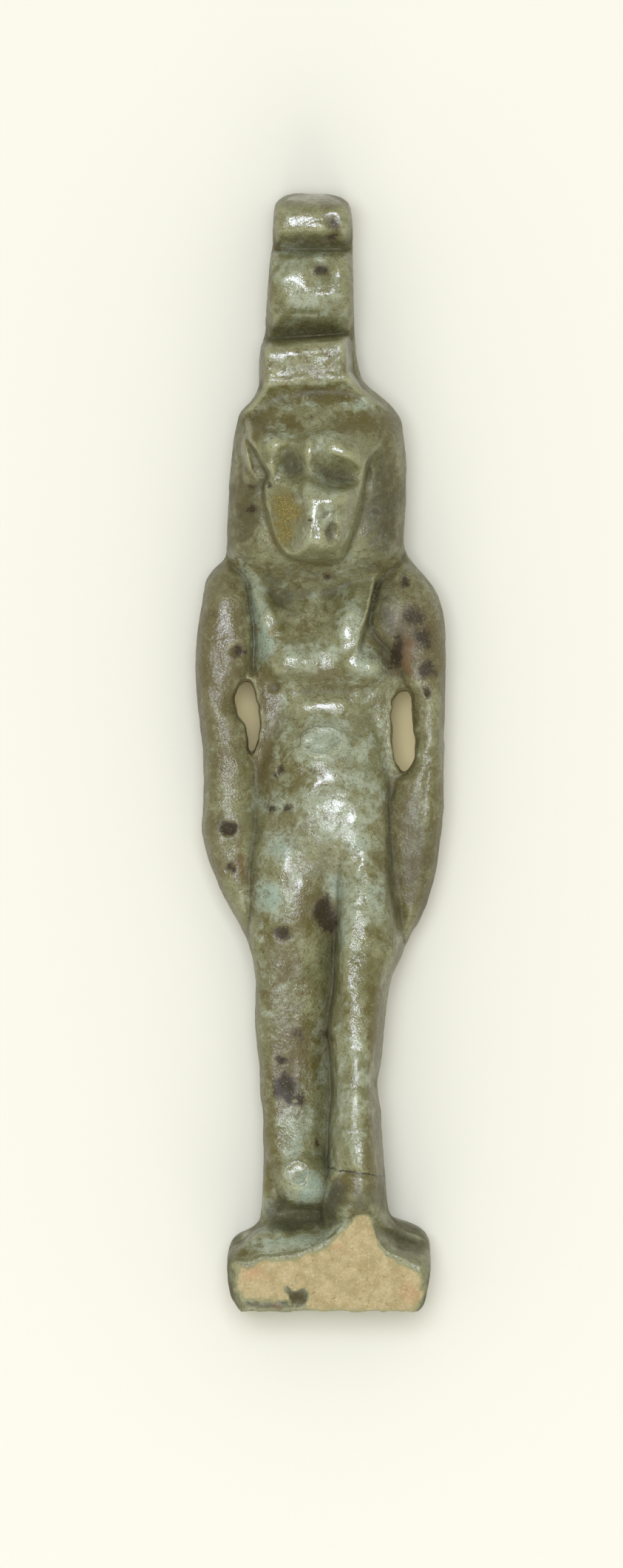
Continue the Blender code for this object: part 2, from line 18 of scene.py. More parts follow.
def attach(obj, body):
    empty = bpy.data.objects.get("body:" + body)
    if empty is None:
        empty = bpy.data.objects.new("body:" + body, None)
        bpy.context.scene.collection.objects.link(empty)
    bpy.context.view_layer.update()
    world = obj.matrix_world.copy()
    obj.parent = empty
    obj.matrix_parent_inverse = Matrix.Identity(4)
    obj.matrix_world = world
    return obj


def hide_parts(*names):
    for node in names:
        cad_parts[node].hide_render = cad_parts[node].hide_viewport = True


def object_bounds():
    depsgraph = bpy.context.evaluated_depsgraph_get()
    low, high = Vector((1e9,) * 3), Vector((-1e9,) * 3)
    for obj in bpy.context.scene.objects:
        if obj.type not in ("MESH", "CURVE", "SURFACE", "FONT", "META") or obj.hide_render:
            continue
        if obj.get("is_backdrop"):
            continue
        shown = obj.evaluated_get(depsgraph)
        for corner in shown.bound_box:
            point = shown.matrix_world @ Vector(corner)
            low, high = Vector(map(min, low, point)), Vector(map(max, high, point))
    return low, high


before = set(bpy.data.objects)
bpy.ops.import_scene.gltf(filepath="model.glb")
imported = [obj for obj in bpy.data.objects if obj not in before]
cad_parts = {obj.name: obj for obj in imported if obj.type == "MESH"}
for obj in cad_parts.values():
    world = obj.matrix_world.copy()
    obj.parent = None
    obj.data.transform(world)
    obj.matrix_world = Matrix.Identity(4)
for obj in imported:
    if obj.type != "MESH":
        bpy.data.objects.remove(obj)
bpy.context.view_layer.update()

# The outline. The paste was pressed into an open mould, so the whole front is one
# surface inside one outline, which runs down both sides to the slab.
FIGURE = 0.04212
STEP = FIGURE / 1404
BASE_HEIGHT = 0.00321
UNDERSIDE = -(BASE_HEIGHT + FIGURE) / 2
BASE_TOP = UNDERSIDE + BASE_HEIGHT
PILLAR_PROUD = 0.00075
TOP_ROW = 262
BASE_ROW = 1666
MIDDLE = 434
BACK_STEPS = 25


def line(rows, *stations):
    """A smooth line through (row, value) stations: cubic, with slopes that never swing past them."""
    table = np.array(stations, float)
    at, value = table[:, 0], table[:, 1]
    gap = np.diff(at)
    rise = np.diff(value) / gap
    both = rise[:-1] + rise[1:]
    inner = np.where(rise[:-1] * rise[1:] > 0, 2 * rise[:-1] * rise[1:] / np.where(both == 0, 1, both), 0)
    slope = np.concatenate([rise[:1], inner, rise[-1:]])
    i = np.clip(np.searchsorted(at, rows) - 1, 0, len(at) - 2)
    t = np.clip((rows - at[i]) / gap[i], 0, 1)
    start = (2 * t**3 - 3 * t**2 + 1) * value[i] + (t**3 - 2 * t**2 + t) * gap[i] * slope[i]
    end = (3 * t**2 - 2 * t**3) * value[i + 1] + (t**3 - t**2) * gap[i] * slope[i + 1]
    return start + end


def blend(a, b, fillet):
    """The larger of two heights, with a fillet where they meet."""
    k = np.clip(0.5 + 0.5 * (a - b) / fillet, 0, 1)
    return b * (1 - k) + a * k + fillet * k * (1 - k)


def ease(low, high, value):
    """0 below low, 1 above high, and 3tt - 2ttt between."""
    t = np.clip((value - low) / (high - low), 0, 1)
    return t * t * (3 - 2 * t)


def bar(x, middle, half, crest, root, power):
    """A rounded bar: root + (crest - root) * sqrt(1 - t^power), t from its middle, then falling away."""
    half = np.maximum(half, 1)
    t = np.abs(x - middle) / half
    inside = np.sqrt(1 - np.minimum(t, 1) ** power)
    return root + (crest - root) * inside - 5 * half * np.clip(t - 1, 0, None)


def turned(x, y, column, row, wide, tall, turn):
    """Distances from a place along two axes turned by some degrees, in widths and in heights."""
    c, s = math.cos(math.radians(turn)), math.sin(math.radians(turn))
    return ((x - column) * c + (y - row) * s) / wide, ((y - row) * c - (x - column) * s) / tall


def lump(x, y, column, row, wide, tall, turn=0.0):
    """A soft bump of height 1: exp(-a^2 - b^2), wide by tall, turned by some degrees."""
    a, b = turned(x, y, column, row, wide, tall, turn)
    return np.exp(-(a * a) - b * b)


def gauss(distance, width):
    """1 at no distance, falling to 0 on both sides: exp(-t^2)."""
    return np.exp(-((distance / width) ** 2))


def left(y):
    """Column of the outline's left side."""
    head = [
        (262, 398), (263, 393), (264.5, 389), (266, 385), (269, 380), (272, 376.5), (278, 373.2),
        (285, 371.5), (300, 370.5), (336, 368.5), (345, 366.5), (380, 363.5), (430, 360), (456, 358),
        (468, 354.5), (480, 352), (500, 351), (522, 351), (532, 347), (542, 341), (552, 331), (562, 324),
        (575, 320.5), (600, 316), (640, 312), (680, 309), (715, 307.5), (735, 307.5), (748, 306.5),
        (757, 303)
    ]
    arm = [
        (765, 295), (775, 286.5), (790, 278.5), (820, 273), (860, 267), (900, 265), (940, 266.5),
        (975, 270), (1020, 275), (1060, 276), (1100, 275), (1122, 273.5), (1140, 276), (1165, 283),
        (1190, 293)
    ]
    return line(
        y, *head, *arm, (1220, 307), (1250, 324), (1275, 336), (1300, 343), (1340, 346.5), (1380, 345.5),
        (1420, 348.5), (1450, 352), (1480, 352.5), (1500, 356), (1550, 356.5), (1600, 356), (1630, 354.5),
        (1648, 352), (1658, 347), (1668, 340), (1690, 338)
    )


def right(y):
    """Column of the outline's right side."""
    head = [
        (262, 436), (263, 446), (264.5, 453), (266, 458), (269, 464), (273, 469), (280, 473.5),
        (290, 475.5), (310, 476.5), (345, 477), (380, 477.5), (430, 479), (456, 480), (480, 482),
        (500, 486), (512, 490), (522, 497), (532, 508), (542, 520), (552, 531), (562, 538), (575, 543),
        (600, 547.5), (640, 549.5), (680, 549), (705, 547.5), (725, 545.5), (740, 546.5), (752, 551),
        (762, 559), (772, 569)
    ]
    arm = [
        (785, 580), (800, 589), (820, 597), (850, 602), (900, 603), (940, 602.5), (1000, 600.5),
        (1060, 600.5), (1100, 599), (1140, 595), (1180, 589), (1210, 581), (1240, 570), (1265, 556),
        (1290, 544)
    ]
    return line(
        y, *head, *arm, (1320, 531), (1350, 524), (1380, 521), (1420, 517), (1450, 513), (1465, 510.5),
        (1480, 511.5), (1500, 514), (1550, 517.5), (1600, 521.5), (1620, 523), (1640, 526), (1652, 534),
        (1665, 545), (1690, 548)
    )


# The headdress: a rolled top, a block behind it and a seat block in front, all
# moulded with the head. The seat's upper edge is the crispest edge of the piece.
def crown(x, y):
    """The largest of three heights: a roll along X, a domed block and the seat with its worn sides."""
    t = np.abs(x - 423.5) / 53
    roll = line(
        y, (262, 116), (264, 131), (268, 150), (274, 167), (280, 179.5), (285, 186), (289, 188),
        (299, 189.2), (309, 189.6), (314, 187.6), (320, 181), (326, 172), (334, 158), (340, 147),
        (347, 80), (353, 0)
    ) - 16 * np.clip(t, 0, 1.4) ** 6
    t = np.abs(x - 420) / 58
    block = line(
        y, (328, 0), (334, 110), (339, 152), (346, 169), (354, 179), (368, 186), (385, 189), (400, 188),
        (416, 183), (430, 172), (442, 158), (452, 142), (470, 110), (490, 0)
    ) - 18 * np.clip(t, 0, 1.4) ** 6
    below = y - 465 + 9 * np.clip((x - 358) / 112, 0, 1)
    face = [
        (-10, 0), (-4, 120), (0, 178), (2, 197), (6, 211), (12, 217), (18, 218), (28, 216.5), (42, 214.5),
        (48, 214.8), (55, 215.8), (61, 213), (68, 206), (78, 199), (90, 193), (100, 184), (116, 140),
        (132, 0)
    ]
    low = line(y, (450, 354), (500, 351), (522, 351), (545, 338), (560, 326))
    high = line(y, (450, 473), (500, 474), (518, 484), (545, 512), (560, 530))
    side = np.minimum(x - low, high - x)
    worn = 46 * np.clip(1 - side / 12, 0, 1) ** 2.2 + 14 * np.clip(-side, 0, None)
    seat = line(below, *face) - worn * (1 - 0.8 * ease(518, 556, y))
    return blend(blend(roll, block, 3), seat, 2)


# The head: a smooth skull under the seat, and the wig set back on both sides of
# the face. It was moulded solid, with no parting between hair and headdress.
def head(x, y):
    """Two bars along Y, the skull over the wig behind it."""
    middle = line(y, (505, 425), (560, 431), (600, 432), (620, 431))
    half = line(
        y, (505, 70), (522, 76), (532, 88), (545, 100), (560, 109), (580, 114), (597, 116), (640, 118),
        (760, 118)
    )
    drawn = y - 0.5 * ease(470, 522, x) * np.clip(y - 588, 0, 40)
    high = line(
        drawn, (480, 0), (500, 120), (512, 160), (524, 190), (534, 202), (546, 209), (560, 216),
        (575, 224), (588, 231), (595, 234), (601, 230), (608, 205), (618, 120), (634, 0)
    )
    slope = line(
        y, (560, 150), (580, 225), (596, 233), (620, 228), (650, 217), (690, 203), (740, 180), (760, 0)
    )
    high = high + ease(462, 505, x) * np.maximum(slope - high, 0)
    skull = bar(x, middle, half, high, high - 84, 2.5)
    middle = line(y, (570, 432), (640, 431), (700, 428), (745, 428), (765, 427))
    half = line(
        y, (570, 113), (600, 117), (640, 119), (700, 120), (745, 120), (765, 116), (800, 100), (840, 80)
    )
    high = line(
        y, (540, 0), (560, 150), (580, 188), (600, 203), (640, 205), (700, 204), (735, 200), (750, 192),
        (765, 181), (780, 169), (800, 155), (820, 140), (840, 90), (850, 0)
    )
    return blend(skull, bar(x, middle, half, high, high - 60, 4), 6)


# The face: worn down by handling, with a heavy brow, sunk eyes and a long lower
# face that stands forward of the wig with a crisp edge.
def face(x, y):
    """A shield whose height is edge + (crest - edge)(1 - t^2.2) across, plus soft bumps and hollows."""
    low = line(
        y, (560, 332), (598, 336), (604, 339), (616, 348), (632, 357), (641, 364), (650, 364), (660, 359),
        (680, 358), (700, 362), (725, 370), (745, 381), (751, 386), (755, 392), (758, 399), (761, 414)
    )
    high = line(
        y, (560, 520), (598, 516), (620, 502), (649, 492), (678, 489), (700, 485), (725, 475), (745, 467),
        (752, 465), (757, 461), (761, 452)
    )
    crest = line(
        y, (530, 0), (560, 190), (576, 216), (592, 233), (604, 243), (616, 246), (632, 242), (645, 240),
        (658, 243), (672, 249), (688, 254), (704, 256), (722, 257), (736, 256), (748, 251), (755, 244),
        (759, 230), (763, 200), (768, 120), (776, 0)
    )
    edge = line(
        y, (530, 0), (560, 170), (576, 204), (592, 224), (606, 232), (630, 233), (650, 234), (680, 238),
        (720, 240), (745, 242), (755, 238), (759, 228), (762, 195), (767, 115), (774, 0)
    )
    t = np.clip((2 * x - low - high) / (high - low), -1, 1)
    side = np.minimum(x - low, high - x)
    z = edge + (crest - edge) * (1 - np.abs(t) ** 2.2)
    z = z + 13 * lump(x, y, 373, 602, 20, 13, -40) + 17 * lump(x, y, 450, 603, 31, 20, 30)
    z = z + 9 * lump(x, y, 480, 622, 14, 16, -20) + 8 * lump(x, y, 366, 634, 9, 14)
    r = np.hypot((x - 394 - 0.1 * (y - 626)) / 16, (y - 628) / 26)
    z = z - 15 * (1 - ease(0, 1.35, r))
    below = y - 651 + 0.1 * (x - 457)
    r = np.hypot((x - 457) / 33, below / np.where(below < 0, 26, 11))
    z = z - 18 * (1 - ease(0, 1.5, r))
    z = z + 10 * lump(x, y, 418, 610, 9, 24, 4)
    edge_left = line(
        y, (630, 414), (646, 405), (656, 399), (666, 398), (676, 402), (700, 404), (730, 400), (752, 392)
    )
    edge_right = line(
        y, (630, 430), (642, 456), (652, 482), (664, 494), (690, 494), (725, 484), (745, 476), (760, 466)
    )
    rise = [(622, 0), (634, 6), (644, 14), (652, 22), (658, 28), (664, 31), (672, 32), (706, 32), (728, 31)]
    drawn = y - 12 * ease(424, 448, x) * (1 - ease(672, 700, y))
    rise = line(drawn, *rise, (740, 26), (748, 19), (754, 11), (760, 4), (766, 0))
    z = z + rise * ease(edge_left - 3, edge_left + 19, x) * (1 - ease(edge_right - 34, edge_right, x))
    z = z - 0.2 * np.clip(x - 427, 0, 60) * ease(668, 694, y) + 3 * lump(x, y, 440, 680, 22, 7)
    z = z - 0.3 * np.clip(410 - x, 0, 50) * ease(655, 675, y) * (1 - ease(735, 752, y))
    z = z + 4 * lump(x, y, 402, 655, 5, 12, 20)
    soft = ease(430, 480, x) * (1 - ease(606, 640, y))
    z = z - 16 * soft * ease(486, 520, x) - (1 - soft) * 9 * np.clip(1 - side / 5, 0, 1) ** 2
    return z - (30 - 27.5 * soft) * np.clip(-side, 0, None)


def ear(x, y):
    """The ear that is left, a short curved bar in front of the wig."""
    middle = line(y, (590, 334), (605, 334), (620, 336), (635, 339), (648, 347), (658, 352))
    half = line(y, (590, 4), (597, 7), (615, 8), (635, 7), (648, 6), (658, 3))
    high = line(
        y, (574, 0), (584, 120), (592, 206), (600, 214), (630, 212), (650, 206), (660, 190), (668, 120),
        (680, 0)
    )
    leaf = bar(x, middle, half, high, high - 22, 2)
    level = line(
        y, (580, 0), (588, 150), (596, 208), (620, 210), (640, 208), (656, 200), (668, 184), (680, 0)
    )
    return blend(leaf, bar(x, 350, 20, level, level - 16, 4), 4)


# The body under the chin: chest, breasts and belly, with the two lappets of the
# wig hanging in front of the shoulders.
def torso(x, y):
    """A wide bar along Y with soft bumps, and a ridge along each lappet."""
    middle = line(y, (745, 432), (850, 440), (975, 441), (1100, 434), (1240, 436), (1340, 436))
    half = line(
        y, (745, 108), (800, 104), (860, 98), (920, 92), (975, 88), (1040, 90), (1110, 94), (1200, 97),
        (1260, 94), (1340, 86)
    )
    high = line(
        y, (705, 0), (720, 60), (735, 100), (750, 122), (765, 134), (780, 143), (800, 152), (830, 166),
        (850, 173), (865, 177), (880, 180.5), (895, 183.5), (907, 184.5), (916, 182), (925, 177),
        (936, 174), (944, 175.2), (952, 176.4), (966, 177.8), (980, 183), (1000, 190), (1020, 196),
        (1060, 202), (1090, 206.5), (1112, 207), (1130, 205), (1150, 201), (1175, 195), (1200, 188),
        (1240, 176), (1280, 150), (1320, 100), (1360, 0)
    )
    z = bar(x, middle, half, high, high - 66, 2.4)
    low = line(
        y, (735, 303), (754, 309), (770, 317), (786, 325), (830, 336), (870, 342), (900, 346), (925, 355)
    )
    inner = line(y, (735, 336), (780, 354), (802, 364), (830, 375), (860, 382), (900, 388), (930, 392))
    rise = line(
        y, (720, 0), (745, 20), (770, 33), (800, 37), (830, 31), (860, 22), (900, 18), (916, 14), (930, 6),
        (942, 0)
    )
    lappet = rise * ease(low - 5, low + 5, x) * (1 - ease(inner - 26, inner + 18, x))
    high = line(
        y, (735, 530), (754, 520), (770, 514), (800, 507), (840, 497), (856, 490), (880, 486), (905, 484)
    )
    inner = line(y, (735, 490), (780, 470), (802, 455), (830, 446), (860, 442), (880, 444), (905, 450))
    rise = line(
        y, (720, 0), (745, 14), (770, 22), (800, 26), (830, 26), (855, 22), (870, 17), (885, 10), (905, 4),
        (915, 0)
    )
    lappet = lappet + rise * (1 - ease(high - 4, high + 3, x)) * ease(inner - 16, inner + 34, x)
    line_raised = 5 * gauss(x - high + 4, 3.5) * ease(740, 760, y) * (1 - ease(838, 862, y))
    z = z + lappet + line_raised
    z = z + 26 * lump(x, y, 504, 903, 30, 24) + 9 * lump(x, y, 408, 893, 36, 26)
    z = z + 0.14 * (x - 438) * ease(1030, 1070, y) * (1 - ease(1150, 1200, y))
    return z + 6 * lump(x, y, 436, 1004, 34, 22) - 4 * lump(x, y, 446, 936, 40, 8)


# The arms hang at the sides, with the hands flat on the thighs. A see-through gap
# was cut between each arm and the waist before firing.
GAP_LEFT = [
    (330, 921), (341, 923), (347, 945), (352, 965), (352, 985), (346, 1010), (340, 1026), (336, 1010),
    (333, 985), (322, 970), (317, 950), (321, 930),
]
GAP_RIGHT = [
    (545, 931), (556, 937), (558, 955), (560, 985), (563, 1003), (562, 1020), (556, 1040), (546, 1048),
    (538, 1040), (532, 1025), (530, 1000), (529, 970), (532, 945),
]


def arms(x, y):
    """The larger of two rounded bars, from the shoulders to the hands."""
    low = left(y)
    high = [
        (752, 312), (770, 322), (800, 333), (850, 341), (880, 343), (905, 337), (921, 331), (940, 320),
        (955, 317), (970, 322), (985, 333), (1010, 336), (1040, 341), (1110, 345), (1150, 347)
    ]
    wavy = 4 * grain(0 * x, y, 0, 26, 51) + 2 * grain(0 * x, y, 0, 9, 52)
    high = line(y, *high, (1200, 346), (1250, 343), (1290, 342)) + wavy
    crest = line(
        y, (726, 0), (738, 60), (750, 110), (762, 140), (785, 162), (820, 174), (880, 178), (950, 176),
        (1050, 174), (1120, 174), (1180, 168), (1230, 158), (1265, 142), (1290, 110), (1310, 0)
    )
    one = bar(x, (low + high) / 2, (high - low) / 2 + 1, crest, crest - 26, 2.2)
    low = line(
        y, (752, 522), (775, 517), (800, 511), (840, 503), (862, 512), (885, 536), (905, 544), (925, 547),
        (940, 556), (955, 558), (985, 560), (1003, 563), (1020, 562), (1040, 553), (1060, 536),
        (1100, 527), (1160, 525), (1200, 528), (1250, 538), (1290, 541)
    ) + wavy
    high = right(y)
    other = bar(x, (low + high) / 2, (high - low) / 2 + 1, crest, crest - 26, 2.2)
    other = other - 0.17 * (x - 560) * ease(750, 790, y) * (1 - ease(930, 1010, y))
    return np.maximum(one, other)


# The legs: one set back with the front of its foot, the other stepping forward to
# a foot that is broken off at the ankle.
def rear_leg(x, y):
    """A bar along Y, level or falling a little to the right, that rises to the foot."""
    middle = line(
        y, (1100, 392), (1180, 393), (1260, 396), (1340, 396), (1420, 394), (1500, 394), (1560, 398),
        (1585, 408), (1640, 416)
    )
    half = line(
        y, (1100, 50), (1180, 54), (1260, 56), (1340, 50), (1420, 45), (1500, 43), (1560, 42), (1585, 40),
        (1640, 36)
    )
    crest = line(
        y, (1040, 0), (1080, 150), (1120, 178), (1160, 192), (1200, 198), (1240, 195), (1290, 185),
        (1340, 175), (1400, 166), (1460, 160), (1500, 161.5), (1530, 165.5), (1555, 171), (1575, 178),
        (1592, 186), (1604, 187), (1614, 183), (1624, 174), (1634, 160), (1644, 148), (1660, 120),
        (1690, 100)
    )
    flat = ease(1230, 1280, y) * (1 - ease(1540, 1575, y))
    whole = bar(x, middle, half, crest, crest - 42, 2.3)
    one_sided = bar(np.maximum(x, middle), middle, half, crest, crest - 42, 2.3) - 0.17 * (x - middle)
    return whole + 0.6 * flat * (one_sided - whole)


def front_leg(x, y):
    """A narrow ridge along Y: crest - fall * (1 - sqrt(1 - t^2.4)) on each side of its middle."""
    low = line(
        y, (1150, 454), (1260, 456), (1330, 454), (1380, 447), (1400, 445), (1420, 449), (1450, 451),
        (1480, 453), (1520, 449), (1560, 448), (1585, 446), (1610, 440), (1645, 434)
    )
    high = np.minimum(right(y), line(y, (1100, 530), (1200, 534), (1260, 540), (1290, 545), (1320, 560)))
    middle = line(
        y, (1130, 480), (1170, 487), (1230, 483), (1290, 474), (1310, 472), (1400, 479), (1540, 481),
        (1600, 485), (1640, 487)
    )
    crest = line(
        y, (1020, 0), (1060, 150), (1100, 180), (1140, 200), (1180, 210), (1220, 216.5), (1260, 222.5),
        (1300, 228), (1400, 238.5), (1500, 247.5), (1580, 254.5), (1610, 255), (1630, 248), (1642, 236),
        (1652, 222), (1664, 200), (1680, 120), (1700, 0)
    )
    right_half = np.maximum(high - 2 - middle, 1)
    t = np.where(x < middle, (middle - x) / (middle - low), (x - middle) / right_half)
    t = np.clip(t, 0, 1)
    fall = line(y, (1090, 50), (1200, 52), (1300, 56), (1570, 62), (1610, 88), (1650, 92))
    outside = np.clip(x - high, 0, None) + np.clip(low - x, 0, None)
    steep = line(y, (1090, 1.5), (1200, 2), (1260, 6), (1330, 16), (1575, 16), (1610, 3), (1660, 2))
    return crest - fall * (1 - np.sqrt(1 - t**2.4)) - steep * outside


# The slab under the feet. Its front and the forward foot are broken off, and the
# sandy core shows there inside a rim of thick glaze. Its back and underside are flat.
BASE_FRONT = 216
SLAB_TOP_ROW = 1638
UNDERSIDE_ROW = BASE_ROW + BASE_HEIGHT / STEP


def slab_left(y):
    """Column of the slab's left side."""
    return line(
        y, (1636, 358), (1650, 353), (1657, 348), (1663, 341), (1667, 331), (1672, 321), (1678, 315),
        (1687, 311), (1700, 308.5), (1722, 308), (1740, 311), (1755, 314.5), (1764, 318.5), (1773, 325)
    )


def slab_right(y):
    """Column of the slab's right side."""
    return line(
        y, (1636, 524), (1644, 527), (1648, 531), (1652, 543), (1657, 556), (1663, 567), (1671, 576.5),
        (1684, 581.5), (1705, 582), (1729, 580.5), (1749, 577), (1764, 572), (1773, 565)
    )


def rim(x):
    """Row of the broken edge across the slab, which runs up to the lost foot."""
    return line(
        x, (306, 1708), (318, 1703), (330, 1704), (349, 1698), (388, 1694), (420, 1686), (446, 1672),
        (460, 1658), (472, 1646), (485, 1635), (496, 1635), (503, 1646), (509, 1668), (524, 1688),
        (547, 1699), (582, 1716)
    )


def glaze_pool(x, y):
    """The top of the slab: a hollow before the feet, and a wave of thick glaze along the broken edge."""
    foot = line(
        x, (306, 1688), (330, 1672), (350, 1652), (370, 1640), (400, 1642), (440, 1642), (460, 1630),
        (476, 1616), (500, 1622), (515, 1645), (540, 1668), (582, 1684)
    )
    wave = line(
        x, (306, 1700), (330, 1681), (350, 1667), (378, 1666), (400, 1674), (427, 1676), (446, 1660),
        (463, 1640), (476, 1628), (500, 1630), (515, 1664), (540, 1690), (582, 1700)
    )
    z = 148 + 46 * ease(foot + 2, wave + 3, y) + 16 * ease(wave - 6, rim(x) + 2, y)
    return z - 2.5 * np.clip(foot - 6 - y, 0, None)


def broken_face(x, y):
    """The break: nearly a plane, drawn forward towards the lost foot."""
    return BASE_FRONT - 1 + 10 * lump(x, y, 487, 1640, 34, 30) - 4 * lump(x, y, 402, 1752, 16, 12)


# The mould's joins. Where two forms meet, the wet paste left a fillet, and the
# glaze filled it further.
def figure_front(x, y):
    """Depth of the figure's front: the largest of all its forms, with fillets."""
    web = [
        (262, 110), (540, 116), (740, 118), (762, 124), (785, 134), (820, 146), (880, 160), (925, 166),
        (975, 165), (1040, 161), (1100, 158), (1200, 150), (1250, 138), (1290, 126), (1330, 110),
        (1690, 110)
    ]
    waist = 0.25 * np.clip(np.abs(x - 438) - 76, 0, 60) * ease(890, 920, y)
    z = line(y, *web) - waist * (1 - ease(1050, 1090, y))
    groove = line(y, (760, 316), (780, 327), (830, 338), (870, 342), (905, 343), (925, 340))
    z = z - 16 * gauss(x - groove, 6) * ease(765, 785, y) * (1 - ease(900, 920, y))
    between_legs = line(
        y, (1230, 0), (1270, 150), (1300, 168), (1340, 165), (1400, 156), (1460, 151), (1520, 152),
        (1560, 154), (1600, 152), (1630, 146), (1650, 140), (1670, 130)
    )
    off = 0.6 * np.clip(x - 423, 0, 45) + 4 * np.clip(400 - x, 0, None) + 4 * np.clip(x - 485, 0, None)
    z = np.maximum(z, between_legs - off)
    flank = line(y, (1530, 0), (1556, 140), (1580, 156), (1605, 160), (1630, 154), (1650, 147), (1690, 130))
    z = np.maximum(z, flank - 0.3 * np.clip(x - 372, 0, 30) - 6 * np.clip(x - 402, 0, None))
    z = blend(z, crown(x, y), 6)
    z = blend(z, head(x, y), 8)
    z = blend(z, ear(x, y), 3)
    fillet = 6 + 6 * (1 - ease(604, 632, y)) * ease(400, 470, x) + 6 * ease(680, 750, y)
    z = blend(z, face(x, y), fillet)
    z = blend(z, torso(x, y), 7)
    z = blend(z, arms(x, y), line(y, (780, 5), (860, 6), (930, 12), (1080, 17), (1690, 17)))
    z = blend(z, rear_leg(x, y), 14)
    return blend(z, front_leg(x, y), line(y, (1100, 16), (1240, 16), (1300, 6), (1690, 6)))


def figure_back(x, y):
    """Depth of the figure's back beside the pillar, with a groove inside each arm."""
    z = line(
        y, (262, 4), (500, 4), (540, 14), (580, 22), (700, 26), (745, 28), (760, 40), (780, 34), (860, 26),
        (940, 30), (1000, 36), (1060, 30), (1120, 22), (1180, 24), (1250, 34), (1300, 40), (1500, 38),
        (1620, 34), (1690, 34)
    )
    one = line(y, (760, 322), (900, 334), (1000, 345), (1250, 343))
    other = line(y, (760, 530), (900, 545), (1000, 540), (1250, 535))
    groove = gauss(x - one, 9) + gauss(x - other, 9)
    return z + 12 * groove * ease(760, 800, y) * (1 - ease(1230, 1280, y))


def parting(y):
    """Depth of the outline, where front and back meet."""
    return line(
        y, (262, 104), (500, 108), (560, 112), (800, 112), (1000, 106), (1260, 96), (1500, 92),
        (1690, 100)
    )


def top_end(y):
    """The rounding of the headdress's top: a quarter circle, from 0 at its end to 1 below it."""
    return np.sqrt(1 - (1 - np.clip((y - TOP_ROW) / 16, 0, 1)) ** 2)


def rounded_front(x, y, low, high, front):
    """The front with a quarter circle along both sides, r - sqrt(r^2 - (r - side)^2), and a rounded top."""
    side = np.minimum(x - low, high - x)
    radius = line(
        y, (262, 11), (330, 11), (450, 10), (520, 11), (560, 14), (600, 13), (740, 13), (775, 18),
        (1200, 18), (1270, 19), (1400, 20), (1560, 20), (1610, 14), (1650, 10), (1690, 10)
    )
    t = np.clip(1 - side / radius, 0, 1)
    ahead = np.maximum(front - radius * (1 - np.sqrt(1 - t * t)), parting(y) + 2) - parting(y)
    return parting(y) + ahead * top_end(y)


def slab_front(x, y):
    """The slab's front: its glazed top as far as the rim, the break below it, and worn side edges."""
    z = np.where(y > rim(x), broken_face(x, y), np.minimum(glaze_pool(x, y), broken_face(x, y)))
    side = np.minimum(x - slab_left(y), slab_right(y) - x)
    return z - 10 * np.clip(1 - side / 13, 0, 1) - 12 * np.clip(1 - side / 5, 0, 1) ** 2


# The fine relief that firing and burial left in the glaze: pits, burst bubbles with
# raised rings, runs and small lumps, an old break across the ankle, rough core.
def grain(x, y, z, size, seed):
    """Smooth random heights from -1 to 1: random values on a cubic lattice, eased between its points."""
    spots = np.stack(np.broadcast_arrays(x, y, z), -1) / size + 0.37 * seed
    cell = np.floor(spots).astype(np.int64)
    t = spots - cell
    t = t * t * t * (t * (t * 6 - 15) + 10)
    values = np.random.default_rng(seed).uniform(-1, 1, 4096)
    total = 0
    for corner in range(8):
        bit = np.array([corner & 1, corner >> 1 & 1, corner >> 2 & 1])
        at = cell + bit
        key = (at[..., 0] * 73856093 ^ at[..., 1] * 19349663 ^ at[..., 2] * 83492791) & 4095
        total = total + np.prod(np.where(bit, t, 1 - t), axis=-1) * values[key]
    return total


def pit(x, y, column, row, wide, tall, depth, lip, turn=0.0):
    """A crater: -depth * exp(-r^3), with a lip that peaks just outside it."""
    a, b = turned(x, y, column, row, wide, tall, turn)
    r = np.sqrt(a * a + b * b)
    return 0.5 * lip * gauss(r - 1.35, 0.35) - 0.8 * depth * np.exp(-(r**3))


# Each pit is a column, row, width, height, depth and lip, then its turn if it has one.
PITS = [
    (450, 311, 11, 15, 5, 1), (436, 369, 8, 9, 6, 0), (437, 371, 20, 22, 5, 1.6, 20),
    (432, 272, 4, 3.5, 1.5, 1.2), (449, 722, 9, 15, 15, 2), (438, 699, 9, 2.2, 3, 1.5, -22),
    (340, 692, 5, 5, 4, 0.8), (340, 661, 4.5, 4, 3, 0.5), (361, 658, 4, 4, 5, 0), (443, 782, 5, 5, 5, 0.6),
    (400, 793, 4, 3, 3, 0.4), (440, 820, 6, 6, 1, 1.6), (370, 930, 8, 7, 4, 1.4), (320, 883, 7, 7, 6, 1),
    (547, 787, 8, 8, 5, 1), (309, 1122, 10, 9, 7, 1), (312, 1175, 7, 7, 4, 1), (577, 937, 6, 6, 4, 1),
    (385, 1263, 12, 10, 4, 1.5), (440, 1240, 10, 20, 4, 0.6, 8), (365, 1093, 6, 6, 3, 0.5),
    (387, 1093, 6, 6, 3, 0.5), (379, 1044, 5, 7, 4, 0.5), (390, 1476, 13, 16, 2.5, 0.5),
    (382, 1435, 7, 7, 2, 0.3), (446, 1405, 5, 8, 5, 0.3), (288, 830, 5, 4, 3, 0.6), (419, 707, 3, 3, 3, 0),
    (482, 893, 7, 6, 1, 2), (424, 861, 7, 5, 1.5, 1, 40), (402, 1586, 13, 16, 2, 3, 35),
    (437, 1004, 21, 14, 1.5, 5.5, -15), (408, 1052, 20, 8, 1, 1, -35), (372, 888, 4, 26, 1.5, 0, 10),
    (437, 699, 8, 4, 2.5, 0.8, -25), (370, 500, 9, 6, 2, 1),
]


